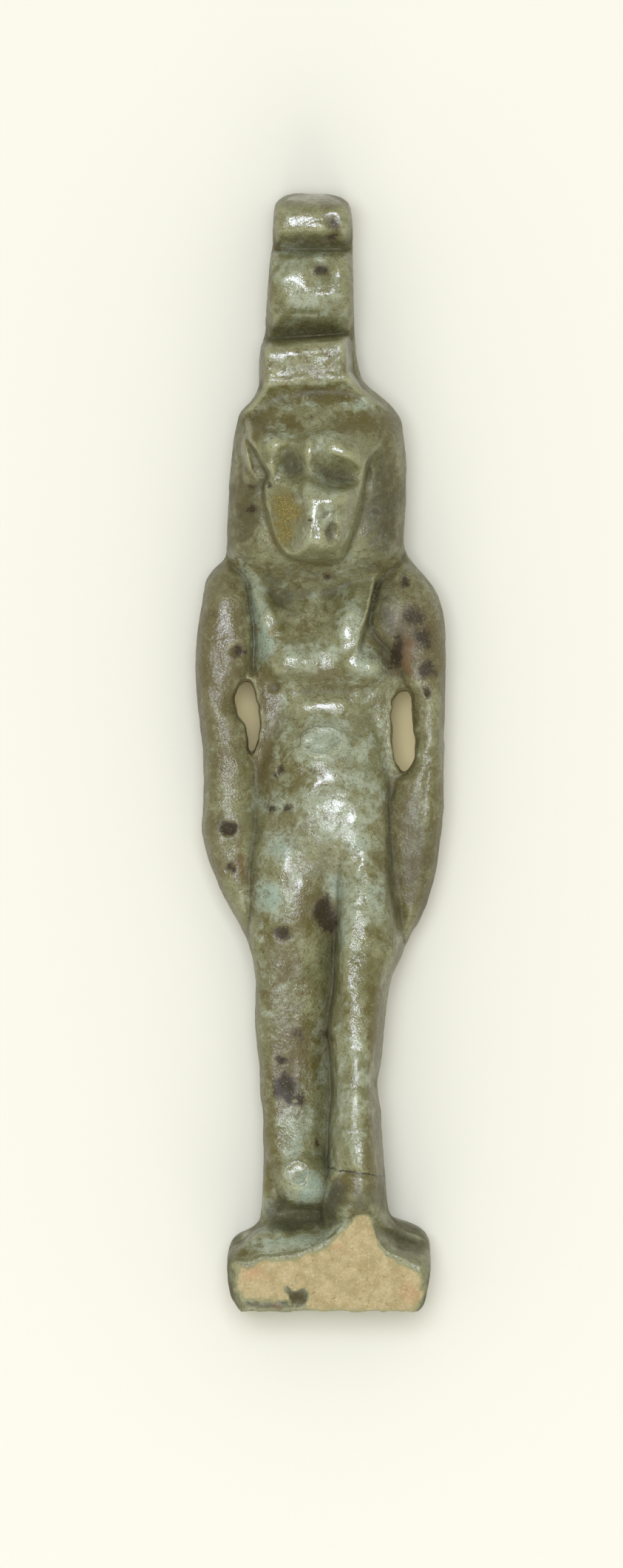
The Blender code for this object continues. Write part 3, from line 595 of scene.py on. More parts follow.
def relief(x, y):
    """Added height in steps: random lumps of three sizes, the named pits and the crack at the ankle."""
    z = 1.8 * grain(x, y, 0, 34, 1) + 1.0 * grain(x, y, 0, 17, 2) + 0.45 * grain(x, y, 0, 9, 3)
    uneven_x = x + 2.4 * grain(x, y, 0, 8, 41)
    uneven_y = y + 2.4 * grain(x, y, 0, 8, 42)
    for column, row, wide, tall, depth, lip, *turn in PITS:
        z = z + pit(uneven_x, uneven_y, column, row, wide, tall, depth, lip, *turn)
    ankle = 1579 + 0.147 * (x - 443) + 1.5 * grain(x, 0 * y, 0, 12, 34)
    return z - 3.5 * (gauss(y - ankle, 2.2) * ease(438, 446, x))


# Where the glaze ran level: column, row, width, height, then the turn if it has one.
FLATS = [
    (396, 298, 15, 9), (424, 297, 13, 8), (450, 292, 12, 5), (398, 384, 17, 12), (386, 402, 9, 12, 20),
    (376, 424, 6, 14, 10), (410, 428, 22, 4), (438, 397, 9, 4), (434, 353, 15, 4, -10), (456, 374, 4, 15),
    (439, 469, 22, 4, -4), (386, 480, 17, 5, -5), (385, 509, 9, 4), (426, 521, 13, 3), (455, 515, 10, 3),
    (371, 602, 8, 5, -50), (418, 614, 4, 13), (437, 597, 9, 6, 30), (457, 611, 17, 6, 35),
    (438, 681, 26, 9), (424, 701, 9, 12), (431, 727, 8, 13, -12), (400, 663, 5, 4), (367, 838, 5, 10, -15),
    (375, 897, 6, 9), (476, 836, 6, 7), (468, 858, 6, 8, 10), (469, 879, 6, 8), (477, 897, 12, 10),
    (404, 877, 10, 4, 10), (432, 956, 24, 6, -3), (440, 1054, 18, 4, -30), (455, 1093, 8, 8),
    (476, 1108, 7, 6, 30), (367, 838, 5, 9, -15), (388, 1172, 5, 19, -8), (405, 1196, 5, 7),
    (400, 1581, 13, 8, -30), (489, 1170, 4, 16, 10), (577, 1085, 5, 48, 5), (303, 840, 10, 30),
]


def drawn_level(x, y, z):
    """The depths drawn towards small flat areas where the glaze ran level, and how far each was drawn."""
    levels = figure_front(*np.array([flat[:2] for flat in FLATS], float).T)
    total = 0 * x
    for (column, row, wide, tall, *turn), level in zip(FLATS, levels):
        near = 1 - (1 - lump(x, y, column, row, wide, tall, *turn)) ** 2
        z = z + 0.8 * near * (level + 0.015 * (x - column) + 0.025 * (y - row) - z)
        total = np.maximum(total, near)
    return z, total


def core_mask(x, y):
    """1 on the broken face, 0 on glaze, from the distance inside the break's ragged edge."""
    margin = line(
        x, (306, 12), (340, 8), (400, 7), (440, 9), (470, 9), (488, 5), (500, 7), (530, 10), (582, 12)
    )
    low = line(y, (1640, 470), (1690, 330), (1712, 321), (1740, 321), (1756, 328), (1773, 345))
    high = line(y, (1640, 505), (1690, 540), (1712, 566), (1740, 572), (1755, 568), (1773, 556))
    foot = line(x, (306, 1752), (330, 1756), (380, 1758), (410, 1761), (420, 1770), (582, 1771))
    inside = np.minimum(np.minimum(y - rim(x) - margin, x - low), np.minimum(high - x, foot - y))
    inside = inside + 4 * grain(x, y, 0, 9, 21) + 3 * grain(x, y, 0, 4, 22)
    dark = lump(x, y, 404, 1756, 15, 12) + 0.9 * lump(x, y, 389, 1742, 6, 8, -20)
    dark = dark + 0.8 * lump(x, y, 411, 1747, 7, 5)
    return ease(-5, 6, inside) * (1 - ease(0.45, 0.65, dark + 0.35 * grain(x, y, 0, 6, 23)))


def whole_front(x, y):
    """Depth of all that the front shows, in steps, with its fine relief."""
    level, drawn = drawn_level(x, y, figure_front(x, y))
    figure = rounded_front(x, y, left(y), right(y), level + (1 - 0.5 * drawn) * relief(x, y))
    figure = np.where((x > left(y)) & (x < right(y)), figure, 0)
    rough = 1.0 * grain(x, y, 0, 20, 31) + 0.6 * grain(x, y, 0, 7, 32)
    slab = slab_front(x, y) + 0.4 * relief(x, y) + core_mask(x, y) * (rough - 2)
    slab = np.where((y > SLAB_TOP_ROW) & (x > slab_left(y)) & (x < slab_right(y)), slab, 0)
    glazed = np.where((slab > 0) & (figure > 0), blend(figure, slab, 15), np.maximum(figure, slab))
    broken = np.where(y > SLAB_TOP_ROW, slab, broken_face(x, y) + rough)
    return np.where(y > rim(x), broken, glazed)


# The body's mesh. Rings round the figure and round the slab are lofted, joined with
# the pillar, cut by the gaps and the bore, and skinned with even small faces. Names
# that end in STEPS are depths or lengths in steps, and the other lengths are metres.
PILLAR_WIDTH = 0.0030
PILLAR_ROUND = 0.0003
PILLAR_TOP_COLUMN = 423
PILLAR_FOOT_COLUMN = 443
PILLAR_DROP_STEPS = 6
PILLAR_IN_STEPS = 55
BORE = 0.0013
BORE_DROP = 0.00225
BORE_BACK = 0.0019
BORE_STEPS = 140
SPARE = 0.0002
PAST = 0.003
FIGURE_RINGS = 440
FIGURE_POINTS = 121
SLAB_POINTS = 91
LAST_ROW = 1690
SKIN = 0.0001
NEAR_FLAT = 0.00003
REACH = 0.0004
FACES_KEPT = 0.58
SLIVER = 6e-6
TOUCHING = 2e-6


def to_metres(x, y, z):
    """Columns, rows and depths in steps as points in the model's frame."""
    ahead = PILLAR_PROUD + (z - BACK_STEPS) * STEP
    return np.stack([(x - MIDDLE) * STEP, BASE_TOP + (BASE_ROW - y) * STEP, ahead + 0 * x], -1)


def to_steps(points):
    """Points in the model's frame as columns, rows and depths in steps."""
    column = points[:, 0] / STEP + MIDDLE
    row = BASE_ROW - (points[:, 1] - BASE_TOP) / STEP
    return column, row, (points[:, 2] - PILLAR_PROUD) / STEP + BACK_STEPS


def placed(name, data):
    """A new object in the scene."""
    made = bpy.data.objects.new(name, data)
    bpy.context.scene.collection.objects.link(made)
    return made


def as_mesh(name, shape):
    """A mesh from a bmesh, which is then given up."""
    mesh = bpy.data.meshes.new(name)
    shape.to_mesh(mesh)
    shape.free()
    return mesh


def evaluated(thing):
    """The mesh that an object's modifiers make."""
    bpy.context.view_layer.update()
    mesh = bpy.data.meshes.new_from_object(thing.evaluated_get(bpy.context.evaluated_depsgraph_get()))
    mesh.name = "glazed_body"
    return mesh


def closed_loft(name, rings):
    """A closed mesh through rings of points: quads from ring to ring, and one face on each end."""
    count, size = rings.shape[:2]
    first = np.arange(count - 1)[:, None] * size + np.arange(size)[None, :]
    after = np.arange(count - 1)[:, None] * size + (np.arange(size)[None, :] + 1) % size
    quads = np.stack([first, first + size, after + size, after], -1).reshape(-1, 4)
    ends = [list(range(size)), list(range(count * size - 1, (count - 1) * size - 1, -1))]
    mesh = bpy.data.meshes.new(name)
    mesh.from_pydata(rings.reshape(-1, 3).tolist(), [], quads.tolist() + ends)
    shape = bmesh.new()
    shape.from_mesh(mesh)
    bmesh.ops.recalc_face_normals(shape, faces=shape.faces)
    shape.to_mesh(mesh)
    shape.free()
    return mesh


def from_side_to_side(rows, low, high, count):
    """Columns spaced as a cosine between two sides, their rows, and their distance from the nearer side."""
    turn = np.linspace(0, math.pi, count)[None, :]
    x = (low + high) / 2 - (high - low) / 2 * np.cos(turn)
    return x, rows + 0 * x, np.minimum(x - low, high - x)


def rings_round(x, y, z_front, z_back):
    """Rings of points, each running along the front from left to right and along the back again."""
    pairs = ((x, x), (y, y), (z_front, z_back))
    return to_metres(*[np.concatenate([front, back[:, -2:0:-1]], 1) for front, back in pairs])


def figure_rings():
    """A ring for each row of the figure, down into the slab."""
    near_top = [262, 262.4, 263, 264, 265.5, 267, 269, 271, 273.5, 276.5, 280, 284]
    rows = np.concatenate([near_top, np.linspace(288, LAST_ROW, FIGURE_RINGS)])[:, None]
    low, high = left(rows), right(rows)
    x, y, side = from_side_to_side(rows, low, high, FIGURE_POINTS)
    z_front = rounded_front(x, y, low, high, figure_front(x, y))
    rounding = line(
        y, (262, 14), (500, 14), (560, 60), (740, 64), (800, 50), (1200, 50), (1300, 60), (1690, 60)
    )
    t = np.clip(1 - side / rounding, 0, 1)
    behind = parting(y) - np.minimum(figure_back(x, y), parting(y) - 2)
    return rings_round(x, y, z_front, parting(y) - behind * np.sqrt(1 - t * t) * top_end(y))


def slab_rings():
    """A ring for each row of the slab: its front, then a flat back with rounded corners."""
    upper, lower = np.linspace(SLAB_TOP_ROW, 1700, 30), np.linspace(1702, UNDERSIDE_ROW + 1, 40)
    rows = np.concatenate([upper, lower])[:, None]
    x, y, side = from_side_to_side(rows, slab_left(rows), slab_right(rows), SLAB_POINTS)
    return rings_round(x, y, slab_front(x, y), -6 + 26 * np.clip(1 - side / 20, 0, 1) ** 2.2)


def block(name, size, centre, round_off):
    """A box with bevelled edges."""
    shape = bmesh.new()
    bmesh.ops.create_cube(shape, size=1, matrix=Matrix.Diagonal((*size, 1)))
    bmesh.ops.bevel(
        shape, geom=shape.edges[:], offset=round_off, segments=3, affect="EDGES", profile=0.5
    )
    bmesh.ops.transform(shape, matrix=Matrix.Translation(centre), verts=shape.verts)
    return as_mesh(name, shape)


def gap(name, outline):
    """A cutter that narrows to the back: a closed curve through its points, roughened a little."""
    points = np.array(outline, float)
    count = len(points)
    t = np.linspace(0, 1, 6, endpoint=False)[:, None]
    loop = []
    for i in range(count):
        a, b, c, d = (points[(i + k) % count] for k in (-1, 0, 1, 2))
        square = (2 * a - 5 * b + 4 * c - d) * t**2
        loop.append(0.5 * (2 * b + (c - a) * t + square + (3 * b - a - 3 * c + d) * t**3))
    loop = np.concatenate(loop)
    loop = loop + np.random.default_rng(count).uniform(-1.6, 1.6, loop.shape)
    narrower = loop - 0.08 * (loop - loop.mean(0))
    levels = ((narrower, -60), (loop, 140), (loop, 330))
    return closed_loft(name, np.stack([to_metres(ring[:, 0], ring[:, 1], z) for ring, z in levels]))


def rod(name, radius, length, centre):
    """A round rod along X."""
    shape = bmesh.new()
    turn = Matrix.Rotation(math.pi / 2, 4, "Y")
    bmesh.ops.create_cone(
        shape, cap_ends=True, segments=48, radius1=radius, radius2=radius, depth=length, matrix=turn
    )
    bmesh.ops.translate(shape, verts=shape.verts, vec=centre)
    return as_mesh(name, shape)


def carve(target, mesh, operation):
    """One Boolean with a closed mesh as its other body."""
    modifier = target.modifiers.new(mesh.name, "BOOLEAN")
    modifier.operation = operation
    modifier.solver = "MANIFOLD"
    modifier.object = placed(mesh.name, mesh)
    return modifier.object


def relaxed(values, times, part):
    """Values at the points, drawn several times by a part of the way to the mean of their neighbours."""
    count = np.bincount(edges.ravel(), minlength=len(values))
    for _ in range(times):
        columns = []
        for axis in range(values.shape[1]):
            one = np.bincount(edges[:, 0], values[edges[:, 1], axis], len(values))
            other = np.bincount(edges[:, 1], values[edges[:, 0], axis], len(values))
            columns.append((one + other) / count)
        values = values + part * (np.stack(columns, 1) - values)
    return values


def mesh_points(mesh):
    """All points of a mesh and their normals."""
    points = np.empty(len(mesh.vertices) * 3)
    mesh.vertices.foreach_get("co", points)
    normals = np.empty(len(mesh.vertices) * 3)
    mesh.vertices.foreach_get("normal", normals)
    return points.reshape(-1, 3), normals.reshape(-1, 3)


draft = placed("draft", closed_loft("figure", figure_rings()))
pillar_top = BASE_TOP + (BASE_ROW - TOP_ROW - PILLAR_DROP_STEPS) * STEP
pillar_depth = PILLAR_PROUD + PILLAR_IN_STEPS * STEP + SPARE
pillar_run = pillar_top - UNDERSIDE + SPARE
pillar_size = (PILLAR_WIDTH, pillar_run, pillar_depth)
pillar = block("pillar", pillar_size, (0, -pillar_run / 2, pillar_depth / 2 - SPARE), PILLAR_ROUND)
pillar_x = (PILLAR_TOP_COLUMN - MIDDLE) * STEP
lean = math.atan2((PILLAR_FOOT_COLUMN - PILLAR_TOP_COLUMN) * STEP, pillar_top - BASE_TOP)
pillar.transform(Matrix.Translation((pillar_x, pillar_top, 0)) @ Matrix.Rotation(lean, 4, "Z"))
bore_centre = (pillar_x, BASE_TOP + FIGURE - BORE_DROP, BORE_BACK)
cutters = [
    carve(draft, closed_loft("slab", slab_rings()), "UNION"),
    carve(draft, pillar, "UNION"),
    carve(draft, gap("gap_left", GAP_LEFT), "DIFFERENCE"),
    carve(draft, gap("gap_right", GAP_RIGHT), "DIFFERENCE"),
    carve(draft, rod("bore", BORE / 2, BORE_STEPS * STEP + PAST, bore_centre), "DIFFERENCE"),
]
skin = draft.modifiers.new("skin", "REMESH")
skin.mode = "VOXEL"
skin.voxel_size = SKIN
body = evaluated(draft)
for spent in [draft, *cutters]:
    bpy.data.objects.remove(spent)

# The skin is drawn to the height field in front, roughened a little elsewhere, laid
# flat on the pillar's back and the slab's underside, and chipped along its lower edge.
edges = np.empty(len(body.edges) * 2, np.int64)
body.edges.foreach_get("vertices", edges)
edges = edges.reshape(-1, 2)
points, normals = mesh_points(body)
flat_back = points[:, 2] < NEAR_FLAT
flat_end = points[:, 1] < UNDERSIDE + NEAR_FLAT
points = relaxed(points, 3, 0.5)
column, row, _ = to_steps(points)
away = PILLAR_PROUD + (whole_front(column, row) - BACK_STEPS) * STEP - points[:, 2]
share = ease(0.3, 0.6, normals[:, 2]) * (np.abs(away) < REACH)
points[:, 2] += share * away
x, y, z = points.T / STEP
uneven = 0.9 * grain(x, y, z, 26, 5) + 0.5 * grain(x, y, z, 12, 6) + 0.3 * grain(x, y, z, 6, 7)
points += normals * ((1 - share) * uneven * STEP)[:, None]
steep = 1 - ease(0.35, 0.8, normals[:, 2])
points = relaxed(points, 2, (0.4 * steep)[:, None])
points[:, 2] = np.where(flat_back & (points[:, 2] < SKIN), 0, np.maximum(points[:, 2], 0))
points[:, 1] = np.where(flat_end, UNDERSIDE, np.maximum(points[:, 1], UNDERSIDE))
chip = 1.2 + 1.6 * grain(column, 0 * row, 0, 8, 33) + 1.0 * grain(column, 0 * row, 0, 20, 35)
chip = chip + 3 * lump(column, 0, 415, 0, 10, 1)
near_edge = ease(1757, 1772, row) * ease(150, 205, to_steps(points)[2])
points[:, 1] += STEP * np.maximum(chip, 0) * near_edge
body.vertices.foreach_set("co", points.ravel())
body.update()


# The colours of the skin. The glaze is thin and pale on edges, thick and dark in
# hollows, stained by burial, and gone where the slab is broken. Shade is painted in
# too: in hollows, creases and recesses, under ledges, and on steep sides.
def patches(x, y, table):
    """The largest of soft patches: column, row, width, height and strength, then a turn if they have one."""
    total = np.zeros_like(x)
    ragged_x = x + 5 * grain(x, y, 0, 15, 43) + 2.5 * grain(x, y, 0, 6, 45)
    ragged_y = y + 5 * grain(x, y, 0, 15, 44) + 2.5 * grain(x, y, 0, 6, 46)
    for column, row, wide, tall, strength, *turn in table:
        near = 1 - (1 - lump(ragged_x, ragged_y, column, row, wide, tall, *turn)) ** 2
        total = np.maximum(total, strength * near)
    return total


# Where each kind of mark lies: dark stains, olive and turquoise glaze, brown dirt,
# painted shade (the dark marks), rust, dull areas, the amber patch on the cheek, and
# chips that bare the core.
MARKS = {
    "stain": [
        (450, 305, 7, 12, 0.8, -20), (448, 322, 9, 6, 1), (436, 369, 8, 8, 1), (361, 658, 4, 4, 1),
        (340, 692, 6, 5, 0.9), (340, 661, 8, 5, 0.7), (443, 781, 6, 5, 1), (400, 792, 4, 3, 0.9),
        (320, 883, 8, 7, 1), (547, 786, 9, 9, 0.9), (560, 835, 16, 15, 0.9, -30), (572, 866, 14, 16, 1),
        (577, 905, 10, 13, 1), (537, 884, 12, 27, 1, 10), (577, 938, 7, 6, 0.9), (309, 1122, 11, 10, 1.1),
        (312, 1175, 8, 8, 1), (379, 1044, 6, 8, 0.9), (365, 1093, 7, 7, 0.9), (387, 1093, 8, 7, 0.9),
        (438, 1232, 12, 17, 1.3), (447, 1250, 9, 14, 1.3), (447, 721, 6, 15, 0.65),
        (440, 699, 10, 2, 0.7, -20), (385, 1263, 11, 9, 1), (384, 1470, 14, 16, 1.3),
        (398, 1486, 13, 9, 1.2), (382, 1435, 8, 6, 1.1), (404, 1402, 6, 10, 0.8), (446, 1405, 6, 12, 1),
        (427, 1545, 5, 6, 0.9), (419, 707, 3, 3, 1), (424, 567, 6, 5, 0.7), (345, 560, 4, 4, 0.6),
        (363, 587, 5, 4, 0.6), (480, 1015, 5, 5, 0.3), (400, 1748, 14, 11, 0.5, 25), (288, 831, 4, 3, 0.6),
    ],
    # Olive glaze. The patches at rows 330, 448 and 537, under the roll, the block and the seat, are painted
    # shade.
    "olive": [
        (355, 575, 24, 18, 1), (392, 577, 18, 10, 1.1, 30), (480, 575, 34, 15, 1), (430, 537, 60, 11, 1.1),
        (430, 330, 60, 8, 0.4), (415, 448, 60, 8, 0.4), (400, 268, 40, 7, 0.6), (455, 275, 20, 12, 0.7),
        (374, 320, 8, 24, 0.8), (368, 400, 7, 60, 0.7), (358, 495, 7, 34, 0.8), (474, 400, 7, 60, 0.6),
        (330, 600, 16, 12, 0.8), (520, 580, 20, 24, 0.9), (450, 918, 34, 14, 0.9), (350, 935, 26, 20, 0.7),
        (400, 1050, 46, 30, 0.6), (372, 1080, 30, 24, 0.5), (415, 1225, 18, 34, 1),
        (512, 1200, 10, 60, 0.6), (375, 1300, 30, 60, 0.7), (405, 1410, 34, 70, 0.7),
        (508, 1380, 10, 60, 1), (470, 1360, 10, 34, 0.6), (365, 1550, 16, 60, 0.8),
        (505, 1540, 12, 60, 0.9), (350, 917, 10, 14, 0.7), (330, 690, 20, 60, 0.8),
        (525, 690, 22, 60, 0.8), (565, 1200, 24, 50, 0.7), (420, 495, 50, 20, 0.35),
        (340, 1010, 12, 60, 0.7), (460, 835, 10, 30, 0.5, 20), (592, 1130, 14, 80, 0.8),
        (272, 900, 7, 120, 0.9), (598, 870, 7, 80, 0.9), (350, 1210, 16, 40, 0.6),
        (500, 1600, 30, 16, 0.9), (505, 1688, 12, 14, 0.8, 50), (335, 1690, 20, 8, 0.7, -20),
        (320, 1680, 20, 12, 0.6), (478, 1610, 30, 22, 0.9), (540, 1250, 14, 50, 0.6, 25),
        (390, 830, 50, 40, 0.5), (410, 775, 50, 16, 0.7), (330, 745, 16, 20, 0.5), (520, 760, 20, 14, 0.7),
    ],
    "blue": [
        (400, 360, 34, 24, 0.7), (425, 408, 36, 24, 0.7), (420, 500, 40, 20, 0.25),
        (400, 545, 34, 10, 0.6), (484, 550, 18, 12, 0.9), (378, 592, 18, 14, 0.7), (440, 600, 20, 16, 0.6),
        (440, 690, 30, 50, 0.6), (390, 636, 14, 18, 0.4), (420, 800, 50, 30, 0.35),
        (331, 775, 10, 28, 0.9, -20), (348, 822, 14, 34, 1.1, -15), (358, 866, 15, 40, 1.1),
        (425, 890, 50, 22, 0.7), (497, 900, 28, 26, 1), (478, 836, 18, 34, 0.9, 15),
        (470, 770, 20, 20, 0.3), (440, 1005, 44, 34, 1), (480, 1040, 40, 40, 0.8),
        (450, 1095, 54, 44, 0.8), (380, 1145, 28, 22, 1.1), (484, 1145, 20, 18, 1),
        (370, 1085, 24, 20, 0.9), (366, 1212, 22, 26, 1.2), (395, 1196, 14, 20, 0.7),
        (453, 1198, 16, 22, 1.1), (506, 1215, 16, 30, 1), (462, 1230, 12, 50, 0.8),
        (480, 1210, 16, 50, 0.9), (466, 1262, 9, 30, 1), (352, 1290, 8, 40, 0.5),
        (400, 1545, 12, 30, 1, 10), (476, 1300, 16, 50, 0.6), (378, 1330, 16, 60, 0.5),
        (475, 1480, 22, 80, 0.7), (405, 1515, 18, 40, 0.9), (435, 1420, 10, 50, 0.6),
        (418, 1606, 22, 24, 1.3), (398, 1550, 10, 22, 1, 10), (365, 1640, 16, 26, 0.9, -30),
        (385, 1680, 56, 8, 1, -4), (438, 1670, 20, 7, 1, -38), (464, 1645, 5, 20, 0.9, 25),
        (352, 1664, 14, 7, 0.9, -35), (380, 980, 16, 60, 0.6), (515, 1060, 14, 80, 0.6),
        (450, 1560, 12, 40, 0.6), (515, 690, 14, 40, 0.4), (520, 745, 14, 14, 0.5),
    ],
    "brown": [
        (565, 870, 34, 60, 1), (555, 790, 30, 26, 0.6), (360, 1020, 12, 56, 1), (345, 985, 8, 36, 0.8),
        (325, 1175, 12, 24, 0.9), (305, 860, 26, 90, 0.6), (300, 1000, 24, 80, 0.4),
        (330, 690, 24, 80, 0.4), (522, 690, 26, 70, 0.4), (545, 1120, 24, 90, 0.7),
        (560, 1190, 30, 50, 0.6), (520, 850, 24, 60, 0.7, 10), (390, 1450, 34, 60, 0.8),
        (390, 1330, 24, 60, 0.5), (290, 1150, 16, 50, 0.8), (570, 1010, 24, 90, 0.5),
        (405, 1410, 12, 50, 0.4), (362, 965, 16, 60, 0.9), (526, 990, 8, 60, 0.5), (592, 820, 14, 60, 0.5),
        (395, 515, 30, 12, 0.3), (300, 900, 34, 160, 0.9), (565, 1190, 24, 60, 0.8),
        (392, 1120, 40, 30, 0.5), (410, 990, 30, 24, 0.35), (400, 860, 30, 20, 0.3),
        (345, 1585, 12, 20, 0.5), (560, 940, 26, 60, 0.6),
    ],
    # Mostly painted shade: under the roll and the block, in the eye sockets, under the chin, beside the
    # face, between breasts and arms, at the groin, between the legs, and in the hollow before the feet,
    # where the glaze also pooled dark. Along the slab's lower edge it is the darker glaze that the break
    # left.
    "dark": [
        (430, 329, 58, 9, 0.7), (415, 447, 64, 9, 0.5), (456, 645, 32, 12, 0.4, 4),
        (395, 627, 14, 20, 0.65, -10), (374, 1640, 15, 22, 0.9, 20), (414, 1643, 38, 13, 0.85, -4),
        (392, 1656, 32, 10, 0.9, -6), (451, 1626, 10, 26, 1.2, 15), (552, 1673, 26, 14, 0.75, 22),
        (376, 802, 13, 40, 0.7, -30), (420, 790, 60, 26, 0.4), (518, 685, 22, 76, 0.85),
        (334, 695, 20, 62, 0.6), (564, 1160, 26, 80, 0.5), (436, 1168, 10, 34, 0.4),
        (438, 1300, 10, 60, 0.5), (437, 1450, 10, 90, 0.5), (520, 815, 16, 44, 0.7, 10),
        (538, 880, 14, 30, 1, 10), (322, 1676, 10, 8, 0.7, 30), (331, 850, 4, 60, 0.4, -6),
        (522, 835, 13, 50, 0.7), (457, 647, 32, 11, 0.35, 4), (345, 1150, 7, 90, 0.5),
        (315, 1735, 8, 34, 0.8), (360, 1767, 54, 7, 0.9), (402, 1753, 18, 12, 1), (528, 1140, 7, 90, 0.5),
        (440, 930, 40, 8, 0.3), (330, 764, 14, 14, 0.5), (500, 766, 40, 12, 0.6), (335, 575, 20, 16, 0.3),
        (495, 1622, 26, 16, 0.7), (574, 1750, 8, 24, 0.6, 15), (470, 1760, 80, 6, 0.2),
        (350, 1240, 14, 20, 0.4, 30), (425, 1230, 12, 30, 0.4), (400, 775, 60, 8, 0.5),
    ],
    "pink": [
        (553, 888, 7, 32, 1.1), (578, 850, 9, 16, 0.5), (327, 1160, 6, 26, 1, -6), (345, 1718, 18, 12, 1),
        (455, 1684, 9, 7, 1), (374, 1764, 9, 5, 1), (553, 1747, 14, 12, 1),
    ],
    "dull": [
        (298, 940, 40, 200, 0.6), (568, 900, 44, 110, 0.7), (566, 1120, 34, 110, 0.5),
        (328, 690, 24, 80, 0.5), (526, 690, 26, 80, 0.5), (420, 800, 60, 44, 0.6),
        (430, 564, 110, 26, 0.6), (430, 332, 60, 12, 1), (415, 452, 64, 12, 0.9),
        (388, 1400, 40, 150, 0.7), (440, 938, 60, 7, 0.8), (436, 1340, 12, 140, 0.7),
        (445, 1500, 8, 90, 0.8), (345, 1140, 8, 100, 0.7), (531, 1140, 8, 100, 0.7),
        (410, 1652, 56, 14, 0.8), (550, 1672, 30, 18, 0.7), (440, 535, 80, 14, 0.7),
        (430, 766, 100, 12, 0.8), (500, 1615, 40, 22, 0.5), (510, 800, 18, 60, 0.8, 10),
        (500, 985, 30, 60, 0.5), (457, 648, 30, 11, 1), (370, 985, 26, 50, 0.5), (395, 1165, 50, 60, 0.3),
    ],
    "amber": [
        (390, 690, 18, 22, 1, -20), (382, 722, 12, 20, 1), (370, 856, 5, 5, 0.8), (366, 905, 8, 14, 0.5),
    ],
    "chips": [
        (456, 1589, 2.5, 4, 0.7, 10), (447, 1598, 2.5, 3, 0.6), (400, 1488, 2, 2, 0.7),
        (374, 510, 7, 1.5, 0.8, 25),
    ],
}
points, normals = mesh_points(body)
column, row, depth = to_steps(points)
ahead = ease(-0.1, 0.25, normals[:, 2])
marks = {name: patches(column, row, table) for name, table in MARKS.items()}

# Painted shade in the creases: between the legs, under the seat, under the roll, by the arm.
leg_seam = line(
    row, (1255, 450), (1312, 452), (1370, 445), (1400, 444), (1430, 450), (1464, 452), (1540, 447),
    (1600, 444)
)
crease_shade = gauss(column - leg_seam + 2, 4) * ease(1235, 1270, row) * (1 - ease(1585, 1610, row))
crease_shade = np.maximum(crease_shade, gauss(row - 459 + (column - 420) * 0.06, 3) * (np.abs(column - 415) < 56))
crease_shade = np.maximum(crease_shade, 0.6 * gauss(row - 338, 3) * (np.abs(column - 423) < 52))
arm_seam = line(row, (1060, 536), (1100, 527), (1160, 525), (1200, 528), (1250, 538))
along = ease(1045, 1075, row) * (1 - ease(1230, 1270, row))
crease_shade = np.maximum(0.35 * crease_shade, 0.5 * along * gauss(column - arm_seam, 5))
marks["dark"] = np.maximum(marks["dark"], 1.3 * crease_shade)
broken_edge = gauss(row - rim(column), 7) * (row > 1625)
marks["dull"] = np.maximum(np.maximum(marks["dull"], ease(1704, 1720, row)), broken_edge)
core = core_mask(column, row) * ahead * (row > rim(column)) * ease(150, 190, depth)
marks["core"] = np.maximum(core, marks.pop("chips") * ahead)
marks["level"] = drawn_level(column, row, 0 * row)[1]
for name in ("stain", "amber", "dark", "level"):
    marks[name] = marks[name] * ahead
near = np.minimum(column - left(row), right(row) - column)
# How steep the skin is near the outline: it sets the painted shade on the sides and the roughness.
marks["steepness"] = (1 - ease(0.15, 0.55, normals[:, 2])) * (1 - ease(8, 14, near))
marks["walls"] = np.zeros_like(column)
for outline in (GAP_LEFT, GAP_RIGHT):
    low, high = np.min(outline, 0) - 2, np.max(outline, 0) + 2
    inside = (column > low[0]) & (column < high[0]) & (row > low[1]) & (row < high[1])
    inside = inside & (points[:, 2] < PILLAR_PROUD + 120 * STEP) & (np.abs(normals[:, 2]) < 0.7)
    marks["walls"] = np.maximum(marks["walls"], inside)

# Edges and hollows, small and broad: the distance from the skin to a smoother one.
smooth = relaxed(points, 8, 0.6)
bulge = np.einsum("ij,ij->i", points - smooth, normals) / STEP
smooth = relaxed(smooth, 90, 0.6)
marks["swell"] = np.einsum("ij,ij->i", points - smooth, normals) / STEP
bulge = relaxed(bulge[:, None], 2, 0.6)[:, 0]
marks["bulge"] = bulge * (1 - np.minimum(1.2 * broken_edge, 1))
for name, values in marks.items():
    body.attributes.new(name, "FLOAT", "POINT").data.foreach_set("value", values.astype(np.float32))

# Fewer faces, mostly where the fine relief isn't.
thinned = placed("thinned", body)
plainer = thinned.vertex_groups.new(name="plainer")
for tenth in range(1, 11):
    members = np.flatnonzero(np.round(10 * (1 - share)) == tenth)
    plainer.add(members.tolist(), tenth / 10, "REPLACE")
fewer = thinned.modifiers.new("fewer", "DECIMATE")
fewer.vertex_group = "plainer"
fewer.vertex_group_factor = 4
fewer.ratio = FACES_KEPT
body = evaluated(thinned)
bpy.data.objects.remove(thinned)
shape = bmesh.new()
shape.from_mesh(body)
bmesh.ops.dissolve_degenerate(shape, dist=SLIVER, edges=shape.edges[:])
for side in shape.faces:
    at = side.calc_center_median()
    side.smooth = not (at.z < TOUCHING or at.y < UNDERSIDE + TOUCHING)
shape.to_mesh(body)
shape.free()


# The glaze and the core as one material: an alkaline glaze over a white sandy
# paste, glossy and finely uneven, with dry rough paste where it is broken.
def empty_material(name):
    """A new material and its node tree, with no nodes in it."""
    made = bpy.data.materials.new(name)
    made.use_nodes = True
    made.node_tree.nodes.clear()
    return made, made.node_tree


